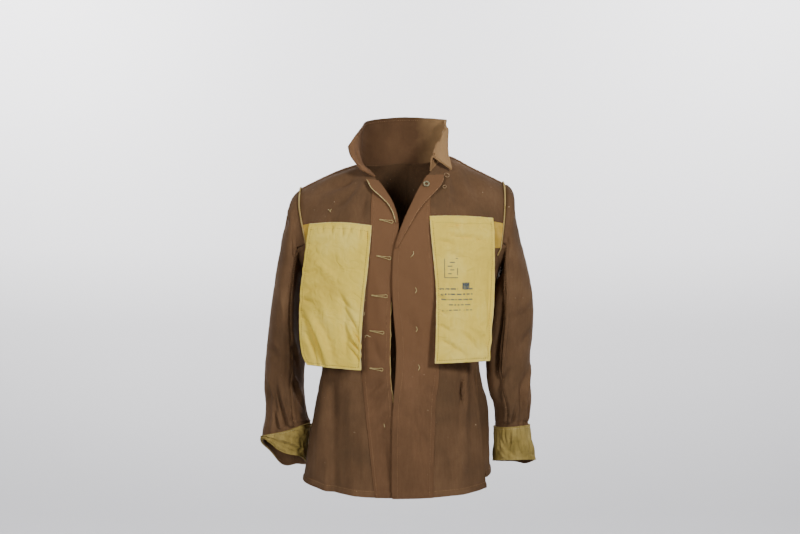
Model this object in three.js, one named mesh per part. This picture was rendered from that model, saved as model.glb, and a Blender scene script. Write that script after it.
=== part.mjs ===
// Military jacket turned inside out and open down the front, hollow as it hangs from the shoulders.
// Millimetres, +Z up. The front faces -Y, and the wearer's right side is at -X.
// The origin lies between the shoulders at neck height, where the garment is carried.
import * as THREE from "three";

// Cloth and seam sizes
const WOOL = 2.0; // wall of the wool pieces
const COTTON = 1.2; // wall of what is sewn on in cotton or as a facing
const LAY = 0.3; // air between a panel and what lies on it
const SEAM = 0.2; // each edge stands this far back from the line of its seam
const SLEEVE_SEAM = 0.3; // the same on the sleeves, whose seams bend more
const BESIDE_BINDING = 2.2; // what is sewn on starts this far from a bound edge
const BAG_WALL = 1.6; // two layers of cotton
const BINDING_WIDTH = 4.5;
const BINDING_HEIGHT = 4.5;
const FRONT_LAP = 6; // the left front lies this far out, over the right one
const SEAM_RIDGE = 1.8; // height of the pressed seam allowance on the shoulder

// Heights that divide the body
const FRONT_HEM = -578;
const BACK_HEM = -560;
const UNDERARM = -187;
const TURN_OVER = -150; // above this the cloth begins to turn over the shoulder
const SHOULDER_TIP = -47;
const SHOULDER_Y = 8; // the shoulder seam lies just behind the middle
const SHOULDER_ROUNDNESS = 2.2;

const COLOURS = {
  wool: 0x6f5039,
  facing: 0x7d573f,
  collar: 0x84694a,
  cotton: 0xcbb56d,
  cuff: 0xa3924b,
  binding: 0xb59f6a,
  metal: 0x8d8768,
};

// A table with named columns: one object for each row.
function table(columns, rows) {
  return rows.map((row) => Object.fromEntries(columns.map((name, i) => [name, row[i]])));
}

// Body sections. left and right are the widest places, side says at what depth they are, and
// seam is the turn from the front middle, in degrees, at which the left side seam lies.
const BODY = table(
  ["level", "left", "right", "front", "back", "sideLeft", "sideRight", "corner", "seam"],
  [
    [-578, -176, 163, -110, 122, -8, 40, 2.3, 66],
    [-515, -169, 160, -108, 119, -8, 42, 2.3, 64],
    [-434, -155, 155, -104, 112, -8, 44, 2.3, 60],
    [-366, -143, 141, -100, 104, -6, 38, 2.3, 66],
    [-300, -152, 147, -103, 105, -4, 22, 2.35, 76],
    [-240, -167, 163, -110, 109, -2, 8, 2.4, 84],
    [-187, -176, 175, -113, 112, 0, 0, 2.4, 90],
    [-170, -187, 186, -112, 113, 2, 2, 2.4, 90],
    [-150, -193, 192, -111, 113, 4, 4, 2.4, 90],
    [-110, -204, 203, -106, 112, 6, 6, 2.4, 90],
    [-47, -215, 214, -98, 108, 8, 8, 2.4, 90],
  ],
);

// Height of the shoulder line across the body, for the fronts and for the back.
const SHOULDER = table(
  ["x", "front", "back"],
  [
    [-184, -47, -47],
    [-148, -29, -29],
    [-112, -13, -13],
    [-73, -1, -1],
    [0, 8, 34],
    [80, 9, 9],
    [122, -7, -7],
    [158, -24, -24],
    [184, -37, -37],
  ],
);

// Where the armhole cuts the body, on either side. scoop is how much further in it lies in front.
const ARMHOLE = table(
  ["level", "left", "right", "scoopLeft", "scoopRight"],
  [
    [-187, -176, 175, 0, 0],
    [-183, -177.5, 176.5, 3, 3],
    [-175, -179, 178, 9, 8],
    [-163, -180, 179, 14, 11],
    [-150, -181, 180, 13, 6],
    [-84, -183, 182.5, 1, 0],
    [-47, -184, 184, 0, 0],
  ],
);

// Lines across each front: bag is the outer edge of the pocket bag, facing the outer edge of the
// facing, and edge the free front edge with the neckline above it.
const RIGHT_FRONT_LINES = table(
  ["level", "bag", "facing", "edge"],
  [
    [-578, -150, -46, -11],
    [-510, -147, -54, -11],
    [-434, -134, -62, -14],
    [-366, -122, -68, -20.5],
    [-300, -130, -69, -20.5],
    [-240, -143, -67, -19],
    [-187, -152, -61, -14],
    [-150, -157, -56, -11],
    [-124, -160, -53, -7],
    [-103, -160, -52.5, -14],
    [-84, -159, -52, -29],
    [-69, -157, -60, -46],
    [-59, -155, -67, -57],
    [-53, -153, -74, -66],
    [-47, -150, -80, -73],
  ],
);
const LEFT_FRONT_LINES = table(
  ["level", "bag", "facing", "edge"],
  [
    [-578, 128, 52, -17],
    [-510, 124, 53, -17],
    [-434, 116, 55, -15],
    [-366, 110, 61, -10],
    [-320, 116, 59, -9],
    [-240, 138, 57, -15],
    [-187, 150, 54, -15.5],
    [-150, 155, 50, -12],
    [-124, 157, 48, 1],
    [-103, 157, 47, 16],
    [-84, 156, 50, 31],
    [-69, 155, 58, 48],
    [-59, 154, 68, 62],
    [-53, 153, 77, 72],
    [-47, 152, 84, 80],
  ],
);

// The largest folds of the body. depth is outwards, so a trough has a depth below zero.
const BODY_FOLDS = table(
  ["face", "x", "lean", "top", "bottom", "width", "depth"],
  [
    ["front", -138, 0.02, -385, -640, 11, 5],
    ["front", -121, 0.02, -380, -600, 9, -7],
    ["front", -104, 0.03, -460, -620, 12, -5],
    ["front", 105, -0.04, -340, -480, 8, -4],
    ["front", 118, -0.05, -330, -640, 14, 3],
    ["front", -118, -0.5, -12, -120, 12, -4],
    ["front", -92, -0.35, -20, -110, 9, -4],
    ["back", -70, 0.05, -380, -640, 18, 6],
    ["back", 62, -0.06, -400, -640, 17, 5],
    ["back", 0, 0.02, -300, -420, 40, -5],
    ["back", 110, -0.1, -330, -560, 14, -4],
  ],
);

// Sleeve sections from the armhole down to the cuff. outer and inner are the two outlines seen
// from the front, y the middle, depth the half depth, and drop how much lower the back rim lies.
const SLEEVE_COLUMNS = ["outerX", "outerZ", "innerX", "innerZ", "y", "depth", "drop"];
const RIGHT_SLEEVE = table(SLEEVE_COLUMNS, [
  [-193, -56, -179, -190, 6, 60, 0],
  [-201, -70, -180.5, -197, 8, 65, 0],
  [-210, -108, -182, -212, 12, 69, 0],
  [-219, -150, -182.5, -230, 16, 72, 0],
  [-230, -211, -183, -262, 22, 73, 0],
  [-240, -274, -182, -305, 30, 71, 0],
  [-249, -346, -178, -350, 38, 66, 0],
  [-253, -401, -181, -401, 42, 62, 0],
  [-251, -450, -176, -452, 40, 57, 3],
  [-256, -486, -170, -470, 36, 52, 7],
  [-257, -499, -169, -474, 34, 50, 10],
  [-256, -507, -177, -545, 28, 46, 22],
]);
const LEFT_SLEEVE = table(SLEEVE_COLUMNS, [
  [191, -39, 179, -190, 6, 60, 0],
  [200, -51, 179.5, -198, 8, 65, 0],
  [203, -85, 175.5, -212, 12, 69, 0],
  [210, -121, 171.5, -230, 16, 72, 0],
  [225, -176, 167, -262, 22, 73, 0],
  [237, -232, 162.5, -305, 30, 71, 0],
  [240, -290, 157, -350, 38, 66, 0],
  [234, -372, 161, -401, 42, 62, 0],
  [238, -426, 170, -443, 40, 57, 3],
  [234, -462, 172, -468, 37, 52, 5],
  [232, -476, 172, -480, 36, 50, 6],
  [243, -542, 170, -543, 32, 47, 11],
]);
const SLEEVE_STEPS = [0, 0.5, 1, 2, 3, 4, 5, 5.5, 6, 6.5, 7, 7.5, 8, 9, 10, 11, 11.33, 11.67, 12];
const CUFF_STEP = 11; // the cuff facing starts at this section

// Sleeve folds: turn is the place round the sleeve in degrees from the outer line, by the front.
const SLEEVE_FOLDS = table(
  ["turn", "top", "bottom", "width", "depth"],
  [
    [100, -300, -440, 16, 4],
    [70, -400, -500, 9, -4],
    [48, -410, -500, 8, -3],
    [150, -220, -420, 20, -4],
    [250, -300, -460, 16, -4],
    [300, -340, -470, 14, 3],
  ],
);

// Collar sections from the right end round the nape to the left end, at part of the way along.
// roll is the middle of the height, and tip the free edge.
const COLLAR = table(
  ["way", "rollX", "rollY", "rollZ", "tipX", "tipY", "tipZ"],
  [
    [0.0, -80, -73, -6, -94, -60, 27],
    [0.1, -77, -50, 10, -84, -33, 46],
    [0.22, -77, -4, 30, -73, 0, 64],
    [0.35, -62, 50, 42, -60, 48, 82],
    [0.5, 2, 76, 46, 2, 84, 91],
    [0.65, 72, 48, 44, 77, 46, 84],
    [0.78, 82, 6, 38, 75, 6, 64],
    [0.88, 68, -34, 36, 80, -32, 22],
    [1.0, 52, -68, 10, 86, -62, -14],
  ],
);

// Pocket bags: outer and inner edge at each height, and how far the bag stands off the body.
const BAG_COLUMNS = ["part", "outerX", "innerX", "z", "stand"];
const RIGHT_BAG = table(BAG_COLUMNS, [
  [0.0, -160, -52.5, -109, 0],
  [0.1, -163, -54, -133, 3],
  [0.3, -170, -59, -184, 5],
  [0.5, -176, -65, -236, 7],
  [0.7, -177, -69, -285, 9],
  [0.9, -172, -70, -332, 9],
  [1.0, -163, -70, -351, 8],
]);
const LEFT_BAG = table(BAG_COLUMNS, [
  [0.0, 157, 47, -99, 0],
  [0.1, 158, 49, -125, 3],
  [0.3, 158, 54, -174, 5],
  [0.5, 157, 58, -222, 7],
  [0.7, 155, 58, -272, 9],
  [0.9, 152, 57, -320, 9],
  [1.0, 150, 56, -343, 8],
]);
const LONGEST_FADE = 30; // a fold fades out over this much at each end
const FOLD_REACH = 1.6; // how quickly folds fade towards the sides, where the body turns away
const BAG_WRAP = 215; // half width of the wider curve that a hanging bag follows
const BAG_CORNER = 2.4;
const BAG_FRONT = -114;
const BAG_MIDDLE_Y = 6;
const BAG_SEAT = 2.6; // how far the bag lies off the front where it is sewn on
const BAG_SEWN = 0.3; // part of its height over which it leaves the front
const BAG_ROWS = 10;

const SMALL_STEP = 0.01; // between places whose difference gives the slope of the cloth

const V = (x, y, z) => new THREE.Vector3(x, y, z);
const mix = (a, b, t) => a + (b - a) * t;
const radians = (degrees) => (degrees * Math.PI) / 180;
const signedPower = (value, power) => Math.sign(value) * Math.pow(Math.abs(value), power);
const bell = (distance, width) => Math.exp(-(distance * distance) / (width * width));

// Rises from 0 to 1 between two places, with soft ends.
function ramp(value, from, to) {
  const t = Math.min(1, Math.max(0, (value - from) / (to - from)));
  return t * t * (3 - 2 * t);
}

// Reads a table at a value of one column, by a cubic curve through its rows.
function sample(rows, key, value) {
  const last = rows.length - 1;
  let i = 0;
  while (i < last - 1 && value > rows[i + 1][key]) i += 1;
  const [a, b] = [rows[i], rows[i + 1]];
  const span = b[key] - a[key];
  const t = Math.min(1, Math.max(0, (value - a[key]) / span));
  const [before, after] = [rows[Math.max(0, i - 1)], rows[Math.min(last, i + 2)]];
  const [fall, rise] = [t * t * (3 - 2 * t), t * (1 - t)];
  const read = (name) => {
    const inSlope = (span * (b[name] - before[name])) / (b[key] - before[key]);
    const outSlope = (span * (after[name] - a[name])) / (after[key] - a[key]);
    return mix(a[name], b[name], fall) + rise * ((1 - t) * inSlope - t * outSlope);
  };
  return Object.fromEntries(Object.keys(a).map((name) => [name, read(name)]));
}

// How high a place lies. Below 0, height is in millimetres under TURN_OVER, and from 0 to 1
// it is the way over the shoulder to its seam. reach falls from 1 to 0 on that way.
function climbAt(height) {
  const turn = (Math.max(height, 0) * Math.PI) / 2;
  const climb = Math.pow(Math.sin(turn), 2 / SHOULDER_ROUNDNESS);
  const reach = signedPower(Math.cos(turn), 2 / SHOULDER_ROUNDNESS);
  const level = TURN_OVER + Math.min(height, 0) + (SHOULDER_TIP - TURN_OVER) * climb;
  return { climb, reach, level };
}

// 1 along a fold between its top and its bottom, with soft ends.
function alongFold(fold, z, fade) {
  const belowTop = ramp(-z, -fold.top - fade, -fold.top + fade);
  return belowTop * ramp(z, fold.bottom - fade, fold.bottom + fade);
}

// How far the folds of one face move a place on it outwards.
function foldDepth(face, x, z) {
  return BODY_FOLDS.filter((fold) => fold.face === face).reduce((sum, fold) => {
    const middle = fold.x + fold.lean * (fold.top - z);
    const fade = Math.min(LONGEST_FADE, (fold.top - fold.bottom) / 3);
    return sum + fold.depth * alongFold(fold, z, fade) * bell(x - middle, fold.width);
  }, 0);
}

// A place on the body. turn is 0 at the front middle, a quarter turn at the side, plus to +X.
function bodyPoint(turn, height) {
  const { climb, reach, level } = climbAt(height);
  const ring = sample(BODY, "level", level);
  const middle = (ring.left + ring.right) / 2;
  const half = (ring.right - ring.left) / 2;
  const x = middle + half * signedPower(Math.sin(turn), 2 / ring.corner);
  const side = turn > 0 ? ring.sideRight : ring.sideLeft;
  const behind = Math.abs(turn) > Math.PI / 2;
  const depth = Math.pow(Math.abs(Math.cos(turn)), 2 / ring.corner);
  const ringY = side + ((behind ? ring.back : ring.front) - side) * depth;
  const line = sample(SHOULDER, "x", x)[behind ? "back" : "front"];
  const z = TURN_OVER + Math.min(height, 0) + (line - TURN_OVER) * climb;
  const facing = Math.min(1, depth * FOLD_REACH) * Math.abs(reach);
  const fold = foldDepth(behind ? "back" : "front", x, z) * facing;
  const y = SHOULDER_Y + (ringY - SHOULDER_Y) * (climb > 0 ? reach : 1) + (behind ? fold : -fold);
  return V(x, y, z);
}

// The way out of the cloth at a place on the body.
function bodyNormal(turn, height) {
  const aside = SMALL_STEP;
  const up = height < 0 ? 1 : SMALL_STEP;
  const across = bodyPoint(turn + aside, height).sub(bodyPoint(turn - aside, height));
  const along = bodyPoint(turn, height + up).sub(bodyPoint(turn, height - up));
  const normal = across.cross(along).normalize();
  const here = bodyPoint(turn, height);
  const outwards = here.sub(V(0, SHOULDER_Y, Math.min(here.z, TURN_OVER)));
  return normal.dot(outwards) < 0 ? normal.negate() : normal;
}

// The turn at which the body has a given x, in front or behind.
function turnAt(x, height, behind = false) {
  const ring = sample(BODY, "level", climbAt(height).level);
  const middle = (ring.left + ring.right) / 2;
  const part = Math.min(1, (Math.abs(x - middle) * 2) / (ring.right - ring.left));
  const turn = Math.asin(Math.pow(part, ring.corner / 2));
  return Math.sign(x - middle) * (behind ? Math.PI - turn : turn);
}

// The turn of the side seam, or of the armhole above it.
function edgeTurn(side, height, behind) {
  const { level } = climbAt(height);
  if (level > UNDERARM + 0.01) {
    const at = sample(ARMHOLE, "level", level);
    const x = side === "left" ? at.left + at.scoopLeft : at.right - at.scoopRight;
    return turnAt(behind ? at[side] : x, height, behind);
  }
  return side === "left" ? -Math.PI / 2 : radians(sample(BODY, "level", level).seam);
}

// Heights of the rows of every body panel, from the hem up.
const LOWER_LEVELS = [-540, -505, -470, -435, -400, -366, -333, -300, -270, -240, -212, -187];
const ARM_LEVELS = [-183, -175, -163];
const OVER_ROWS = [0, 0.14, 0.28, 0.42, 0.56, 0.67, 0.78, 0.89, 1];
const UNDERARM_ROW = LOWER_LEVELS.length;
const TOP_ROW = UNDERARM_ROW + ARM_LEVELS.length + OVER_ROWS.length;

function rowHeights(hem) {
  const levels = [hem, ...LOWER_LEVELS, ...ARM_LEVELS];
  return [...levels.map((level) => level - TURN_OVER), ...OVER_ROWS];
}

// A grid of places and outward directions from a function of row and column.
function surface(rows, columns, place) {
  const cell = (r, c) => {
    const { turn, height } = place(r, c);
    return { point: bodyPoint(turn, height), normal: bodyNormal(turn, height) };
  };
  const cells = Array.from({ length: rows }, (_, r) =>
    Array.from({ length: columns }, (_, c) => cell(r, c)),
  );
  return {
    points: cells.map((row) => row.map((at) => at.point)),
    normals: cells.map((row) => row.map((at) => at.normal)),
  };
}

// Columns of a front panel: how many steps lie between its named lines.
const EDGE_STEPS = 1;
const SIDE_STEPS = 3;
const BAG_STEPS = 7;
const FACING_STEPS = 3;
const BAG_COLUMN = EDGE_STEPS + SIDE_STEPS;
const FACING_COLUMN = BAG_COLUMN + BAG_STEPS;
const FRONT_COLUMNS = FACING_COLUMN + FACING_STEPS;
const LAP_COLUMN = BAG_COLUMN + 2; // from here the lap grows to the free edge
const HANG_COLUMN = BAG_COLUMN + 3; // the bag's height is read off the front here

function stepsBetween(from, to, count) {
  return Array.from({ length: count }, (_, i) => mix(from, to, (i + 1) / count));
}

// A front's surface. Here "left" is the side at -X, which is the wearer's right.
function frontSurface(side, lines) {
  const heights = rowHeights(FRONT_HEM);
  const turns = heights.map((height) => {
    const { level } = climbAt(height);
    const at = sample(lines, "level", level);
    const edge = edgeTurn(side, height, false);
    const bag = turnAt(at.bag, height);
    const width = bodyPoint(edge, height).distanceTo(bodyPoint(bag, height));
    const bound = mix(edge, bag, BINDING_WIDTH / width);
    const facing = turnAt(at.facing, height);
    return [
      edge,
      bound,
      ...stepsBetween(bound, bag, SIDE_STEPS),
      ...stepsBetween(bag, facing, BAG_STEPS),
      ...stepsBetween(facing, turnAt(at.edge, height), FACING_STEPS),
    ];
  });
  const whole = surface(heights.length, FRONT_COLUMNS + 1, (r, c) => ({
    turn: turns[r][c],
    height: heights[r],
  }));
  const lift = (c) => (side === "right" ? FRONT_LAP * ramp(c, LAP_COLUMN, FRONT_COLUMNS) : 0);
  whole.points.forEach((row, r) =>
    row.forEach((point, c) => point.addScaledVector(whole.normals[r][c], lift(c))),
  );
  return whole;
}

// Columns of the back: binding, shoulder, neck, shoulder and binding again.
const SHOULDER_STEPS = 5;
const NECK_STEPS = 8;
const NECK_COLUMN = EDGE_STEPS + SHOULDER_STEPS;
const BACK_COLUMNS = 2 * NECK_COLUMN + NECK_STEPS;
const NECK_RIGHT_X = -73;
const NECK_LEFT_X = 80;
const NAPE_HEIGHT = 0.62; // how far over the shoulder the back reaches at its middle
const NAPE_CURVE = 0.6; // below 1 the neckline is flatter behind and steeper at its ends

function backSurface() {
  const heights = rowHeights(BACK_HEM);
  const turns = heights.map((height) => {
    const half = (side, neckX) => {
      const whole = side === "left" ? -2 * Math.PI : 0;
      const unwind = (turn) => (side === "left" ? turn - whole : turn);
      const edge = unwind(edgeTurn(side, height, true));
      const neck = unwind(turnAt(neckX, height, true));
      const width = bodyPoint(edge, height).distanceTo(bodyPoint(neck, height));
      const bound = mix(edge, neck, BINDING_WIDTH / width);
      return [edge, bound, ...stepsBetween(bound, neck, SHOULDER_STEPS)];
    };
    const right = half("left", NECK_RIGHT_X);
    const left = half("right", NECK_LEFT_X);
    const neck = stepsBetween(right[right.length - 1], left[left.length - 1], NECK_STEPS);
    return [...right, ...neck.slice(0, -1), ...left.reverse()];
  });
  const neckPart = (c) => Math.min(1, Math.max(0, (c - NECK_COLUMN) / NECK_STEPS));
  const dip = (c) => Math.pow(Math.sin(Math.PI * neckPart(c)), NAPE_CURVE);
  const rise = (c) => mix(1, NAPE_HEIGHT, dip(c));
  return surface(heights.length, BACK_COLUMNS + 1, (r, c) => {
    const turn = turns[r][c];
    const height = heights[r] > 0 ? heights[r] * rise(c) : heights[r];
    return { turn: turn > Math.PI ? turn - 2 * Math.PI : turn, height };
  });
}

// Part of a surface, by its first and last row and column.
function part(whole, rowFrom, rowTo, columnFrom, columnTo) {
  const cut = (grid) =>
    grid.slice(rowFrom, rowTo + 1).map((row) => row.slice(columnFrom, columnTo + 1));
  return { points: cut(whole.points), normals: cut(whole.normals) };
}

// Moves the named edges of a surface back from their seams.
function seamed(whole, edges, gap = SEAM) {
  const points = whole.points.map((row) => row.map((point) => point.clone()));
  const back = (r, c, towardsR, towardsC) => {
    const way = points[towardsR][towardsC].clone().sub(points[r][c]);
    points[r][c].addScaledVector(way, gap / way.length());
  };
  const [rows, columns] = [points.length - 1, points[0].length - 1];
  if (edges.includes("first")) points.forEach((_, r) => back(r, 0, r, 1));
  if (edges.includes("last")) points.forEach((_, r) => back(r, columns, r, columns - 1));
  if (edges.includes("top")) points[0].forEach((_, c) => back(rows, c, rows - 1, c));
  if (edges.includes("bottom")) points[0].forEach((_, c) => back(0, c, 1, c));
  return { points, normals: whole.normals };
}

// A closed wall between two offsets of a surface. Offsets may be numbers or functions.
function wall(whole, low, high, round = false) {
  const { points, normals } = whole;
  const [rows, columns] = [points.length, points[0].length];
  const read = (offset, r, c) => (typeof offset === "function" ? offset(r, c) : offset);
  const layer = (offset) =>
    points.flatMap((row, r) =>
      row.map((point, c) => point.clone().addScaledVector(normals[r][c], read(offset, r, c))),
    );
  const vertices = [...layer(high), ...layer(low)];
  const count = rows * columns;
  const at = (r, c, below = 0) => below * count + r * columns + (c % columns);
  const faces = [];
  const quad = (a, b, c, d) => faces.push(a, b, c, a, c, d);
  const steps = round ? columns : columns - 1;
  for (let r = 0; r < rows - 1; r += 1) {
    for (let c = 0; c < steps; c += 1) {
      quad(at(r, c), at(r, c + 1), at(r + 1, c + 1), at(r + 1, c));
      quad(at(r, c, 1), at(r + 1, c, 1), at(r + 1, c + 1, 1), at(r, c + 1, 1));
    }
  }
  for (let c = 0; c < steps; c += 1) {
    quad(at(0, c, 1), at(0, c + 1, 1), at(0, c + 1), at(0, c));
    quad(at(rows - 1, c), at(rows - 1, c + 1), at(rows - 1, c + 1, 1), at(rows - 1, c, 1));
  }
  if (!round) {
    const end = columns - 1;
    for (let r = 0; r < rows - 1; r += 1) {
      quad(at(r, 0), at(r + 1, 0), at(r + 1, 0, 1), at(r, 0, 1));
      quad(at(r + 1, end, 1), at(r + 1, end), at(r, end), at(r, end, 1));
    }
  }
  return closedGeometry(vertices, faces);
}

// Six times the volume that the faces enclose; below zero they face inwards.
function enclosed(vertices, faces) {
  let sum = 0;
  for (let i = 0; i < faces.length; i += 3) {
    const [a, b, c] = [vertices[faces[i]], vertices[faces[i + 1]], vertices[faces[i + 2]]];
    sum += a.dot(b.clone().cross(c));
  }
  return sum;
}

function closedGeometry(vertices, faces) {
  const order = enclosed(vertices, faces) < 0 ? faces.slice().reverse() : faces;
  const geometry = new THREE.BufferGeometry().setFromPoints(vertices);
  geometry.setIndex(order);
  geometry.computeVertexNormals();
  return geometry;
}

const jacket = new THREE.Group();

function add(name, geometry, colour, roughness = 0.95, metalness = 0) {
  const material = new THREE.MeshStandardMaterial({ color: colour, roughness, metalness });
  const mesh = new THREE.Mesh(geometry, material);
  mesh.name = name;
  jacket.add(mesh);
}

// Body panels and what is sewn on them
const FACING_TOP_ROW = UNDERARM_ROW + ARM_LEVELS.length + 4; // under the lapels
const STAY_ROW = UNDERARM_ROW + ARM_LEVELS.length + 1;
const STAY_ROWS = [STAY_ROW, STAY_ROW + 2];
const SHOULDER_BAND_ROW = TOP_ROW - 1;

function addFront(side, surfaceOf) {
  add("front_" + side, wall(seamed(surfaceOf, ["first", "top"]), -WOOL, 0), COLOURS.wool);
  const facing = part(surfaceOf, 0, FACING_TOP_ROW, FACING_COLUMN, FRONT_COLUMNS);
  add("front_facing_" + side, wall(facing, LAY, LAY + COTTON), COLOURS.facing);
  const strip = part(surfaceOf, ...STAY_ROWS, EDGE_STEPS, BAG_COLUMN);
  const stay = seamed(strip, ["first", "last"], BESIDE_BINDING);
  add("pocket_stay_" + side, wall(stay, LAY, LAY + COTTON), COLOURS.cotton);
  const band = part(surfaceOf, SHOULDER_BAND_ROW, TOP_ROW, EDGE_STEPS, FACING_COLUMN);
  const clear = seamed(seamed(band, ["first"], BESIDE_BINDING), ["top"]);
  add("shoulder_seam_" + side, wall(clear, LAY, LAY + SEAM_RIDGE), COLOURS.wool);
}

// The bound edge stands up square to the armhole, clear of the sleeve beside it.
function addBinding(name, strip) {
  const normals = strip.normals.map((row) => row.map((normal) => V(0, normal.y, normal.z).normalize()));
  const standing = seamed({ points: strip.points, normals }, ["top", "first", "last"]);
  add(name, wall(standing, LAY, LAY + BINDING_HEIGHT), COLOURS.binding);
}

const rightFront = frontSurface("left", RIGHT_FRONT_LINES);
const leftFront = frontSurface("right", LEFT_FRONT_LINES);
const back = backSurface();
addFront("right", rightFront);
addFront("left", leftFront);

// The back has a seam down its middle.
const BACK_MIDDLE = BACK_COLUMNS / 2;
const backRight = part(back, 0, TOP_ROW, 0, BACK_MIDDLE);
const backLeft = part(back, 0, TOP_ROW, BACK_MIDDLE, BACK_COLUMNS);
add("back_right", wall(seamed(backRight, ["first", "last", "top"]), -WOOL, 0), COLOURS.wool);
add("back_left", wall(seamed(backLeft, ["first", "last", "top"]), -WOOL, 0), COLOURS.wool);

const ARM_ROWS = [UNDERARM_ROW + 3, TOP_ROW];
addBinding("armhole_binding_right_front", part(rightFront, ...ARM_ROWS, 0, EDGE_STEPS));
addBinding("armhole_binding_left_front", part(leftFront, ...ARM_ROWS, 0, EDGE_STEPS));
addBinding("armhole_binding_right_back", part(back, ...ARM_ROWS, 0, EDGE_STEPS));
addBinding(
  "armhole_binding_left_back",
  part(back, ...ARM_ROWS, BACK_COLUMNS - EDGE_STEPS, BACK_COLUMNS),
);

// Sleeves
const UNDER_FROM = 8; // columns of the sleeve ring at which the under sleeve begins and ends
const UNDER_TO = 17;
const SLEEVE_CORNER = 2.2;
const SLEEVE_GAP = 0.4;
const SLEEVE_FADE = 20;

// The armhole as a ring of places, from the shoulder tip down the front and up the back.
function armholeRing(front, behind, side) {
  const rows = Array.from({ length: TOP_ROW - UNDERARM_ROW + 1 }, (_, i) => TOP_ROW - i);
  const backColumn = side === "left" ? 0 : BACK_COLUMNS;
  const down = rows.map((r) => front.points[r][0].clone());
  const up = rows.slice(1, -1).reverse().map((r) => behind.points[r][backColumn].clone());
  const outwards = side === "left" ? -SLEEVE_GAP : SLEEVE_GAP;
  return [...down, ...up].map((point) => point.add(V(outwards, 0, 0)));
}

// The turns round a sleeve at which its columns lie, by their spacing round the armhole.
function ringTurns(ring) {
  const steps = ring.map((point, i) => point.distanceTo(ring[(i + 1) % ring.length]));
  const whole = steps.reduce((a, b) => a + b, 0);
  let run = 0;
  return steps.map((step) => {
    const turn = (run / whole) * 2 * Math.PI;
    run += step;
    return turn;
  });
}

// One section of a sleeve: a rounded rectangle on its middle, with a place for each turn.
function sleeveRing(section, turns) {
  const outer = V(section.outerX, section.y, section.outerZ);
  const inner = V(section.innerX, section.y, section.innerZ);
  const middle = outer.clone().lerp(inner, 0.5);
  const half = outer.sub(middle);
  return turns.map((turn) => {
    const out = signedPower(Math.cos(turn), 2 / SLEEVE_CORNER);
    const forward = signedPower(Math.sin(turn), 2 / SLEEVE_CORNER);
    const point = middle.clone().addScaledVector(half, out);
    point.y -= section.depth * forward;
    point.z += section.drop * forward;
    return point;
  });
}

// Cubic blend of four rings.
function betweenRings(rings, step) {
  const i = Math.min(rings.length - 2, Math.floor(step));
  const t = step - i;
  const [a, b] = [rings[i], rings[i + 1]];
  const before = rings[Math.max(0, i - 1)];
  const after = rings[Math.min(rings.length - 1, i + 2)];
  const [fall, rise] = [t * t * (3 - 2 * t), t * (1 - t)];
  return a.map((point, c) => {
    const inSlope = b[c].clone().sub(before[c]).multiplyScalar(0.5);
    const outSlope = after[c].clone().sub(point).multiplyScalar(0.5);
    return point
      .clone()
      .lerp(b[c], fall)
      .addScaledVector(inSlope, rise * (1 - t))
      .addScaledVector(outSlope, -rise * t);
  });
}

// Outward directions of a tube of rings, away from the middle of each ring.
function tubeNormals(points) {
  const last = points.length - 1;
  return points.map((ring, r) => {
    const middle = ring.reduce((sum, point) => sum.add(point), V(0, 0, 0)).divideScalar(ring.length);
    return ring.map((point, c) => {
      const across = ring[(c + 1) % ring.length].clone().sub(ring[(c - 1 + ring.length) % ring.length]);
      const along = points[Math.min(last, r + 1)][c].clone().sub(points[Math.max(0, r - 1)][c]);
      const normal = across.cross(along);
      if (r === 0) normal.x = 0;
      normal.normalize();
      return normal.dot(point.clone().sub(middle)) < 0 ? normal.negate() : normal;
    });
  });
}

function sleeveFold(turn, z) {
  return SLEEVE_FOLDS.reduce((sum, fold) => {
    const across = bell(turn - radians(fold.turn), radians(fold.width));
    return sum + fold.depth * alongFold(fold, z, SLEEVE_FADE) * across;
  }, 0);
}

function sleeveSurface(front, behind, side, sections) {
  const armhole = armholeRing(front, behind, side);
  const turns = ringTurns(armhole);
  const rings = [armhole, ...sections.map((section) => sleeveRing(section, turns))];
  const points = SLEEVE_STEPS.map((step) => betweenRings(rings, step));
  const normals = tubeNormals(points);
  points.forEach((ring, r) =>
    ring.forEach((point, c) => point.addScaledVector(normals[r][c], sleeveFold(turns[c], point.z))),
  );
  return { points, normals };
}

// Columns of a ring from one place on, round past its start if need be.
function ringPart(whole, from, to) {
  const columns = Array.from({ length: to - from + 1 }, (_, i) => from + i);
  const cut = (grid) => grid.map((row) => columns.map((c) => row[c % row.length]));
  return { points: cut(whole.points), normals: cut(whole.normals) };
}

function addSleeve(side, whole) {
  const count = whole.points[0].length;
  const under = seamed(ringPart(whole, UNDER_FROM, UNDER_TO), ["first", "last"], SLEEVE_SEAM);
  const top = seamed(ringPart(whole, UNDER_TO, count + UNDER_FROM), ["first", "last"], SLEEVE_SEAM);
  add("under_sleeve_" + side, wall(under, -WOOL, 0), COLOURS.wool);
  add("top_sleeve_" + side, wall(top, -WOOL, 0), COLOURS.wool);
  const from = SLEEVE_STEPS.indexOf(CUFF_STEP);
  const cuff = { points: whole.points.slice(from), normals: whole.normals.slice(from) };
  add("cuff_facing_" + side, wall(cuff, LAY, LAY + COTTON, true), COLOURS.cuff);
}

const rightSleeve = sleeveSurface(rightFront, back, "left", RIGHT_SLEEVE);
const leftSleeve = sleeveSurface(leftFront, back, "right", LEFT_SLEEVE);
addSleeve("right", rightSleeve);
addSleeve("left", leftSleeve);

// Collar
const COLLAR_ROWS = 7;
const NECK_ROW = UNDERARM_ROW + ARM_LEVELS.length + 1 + 4; // the front edge meets the neckline here
const COLLAR_SEAT = 0.5;
const COLLAR_WALL = 2.2;

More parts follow.
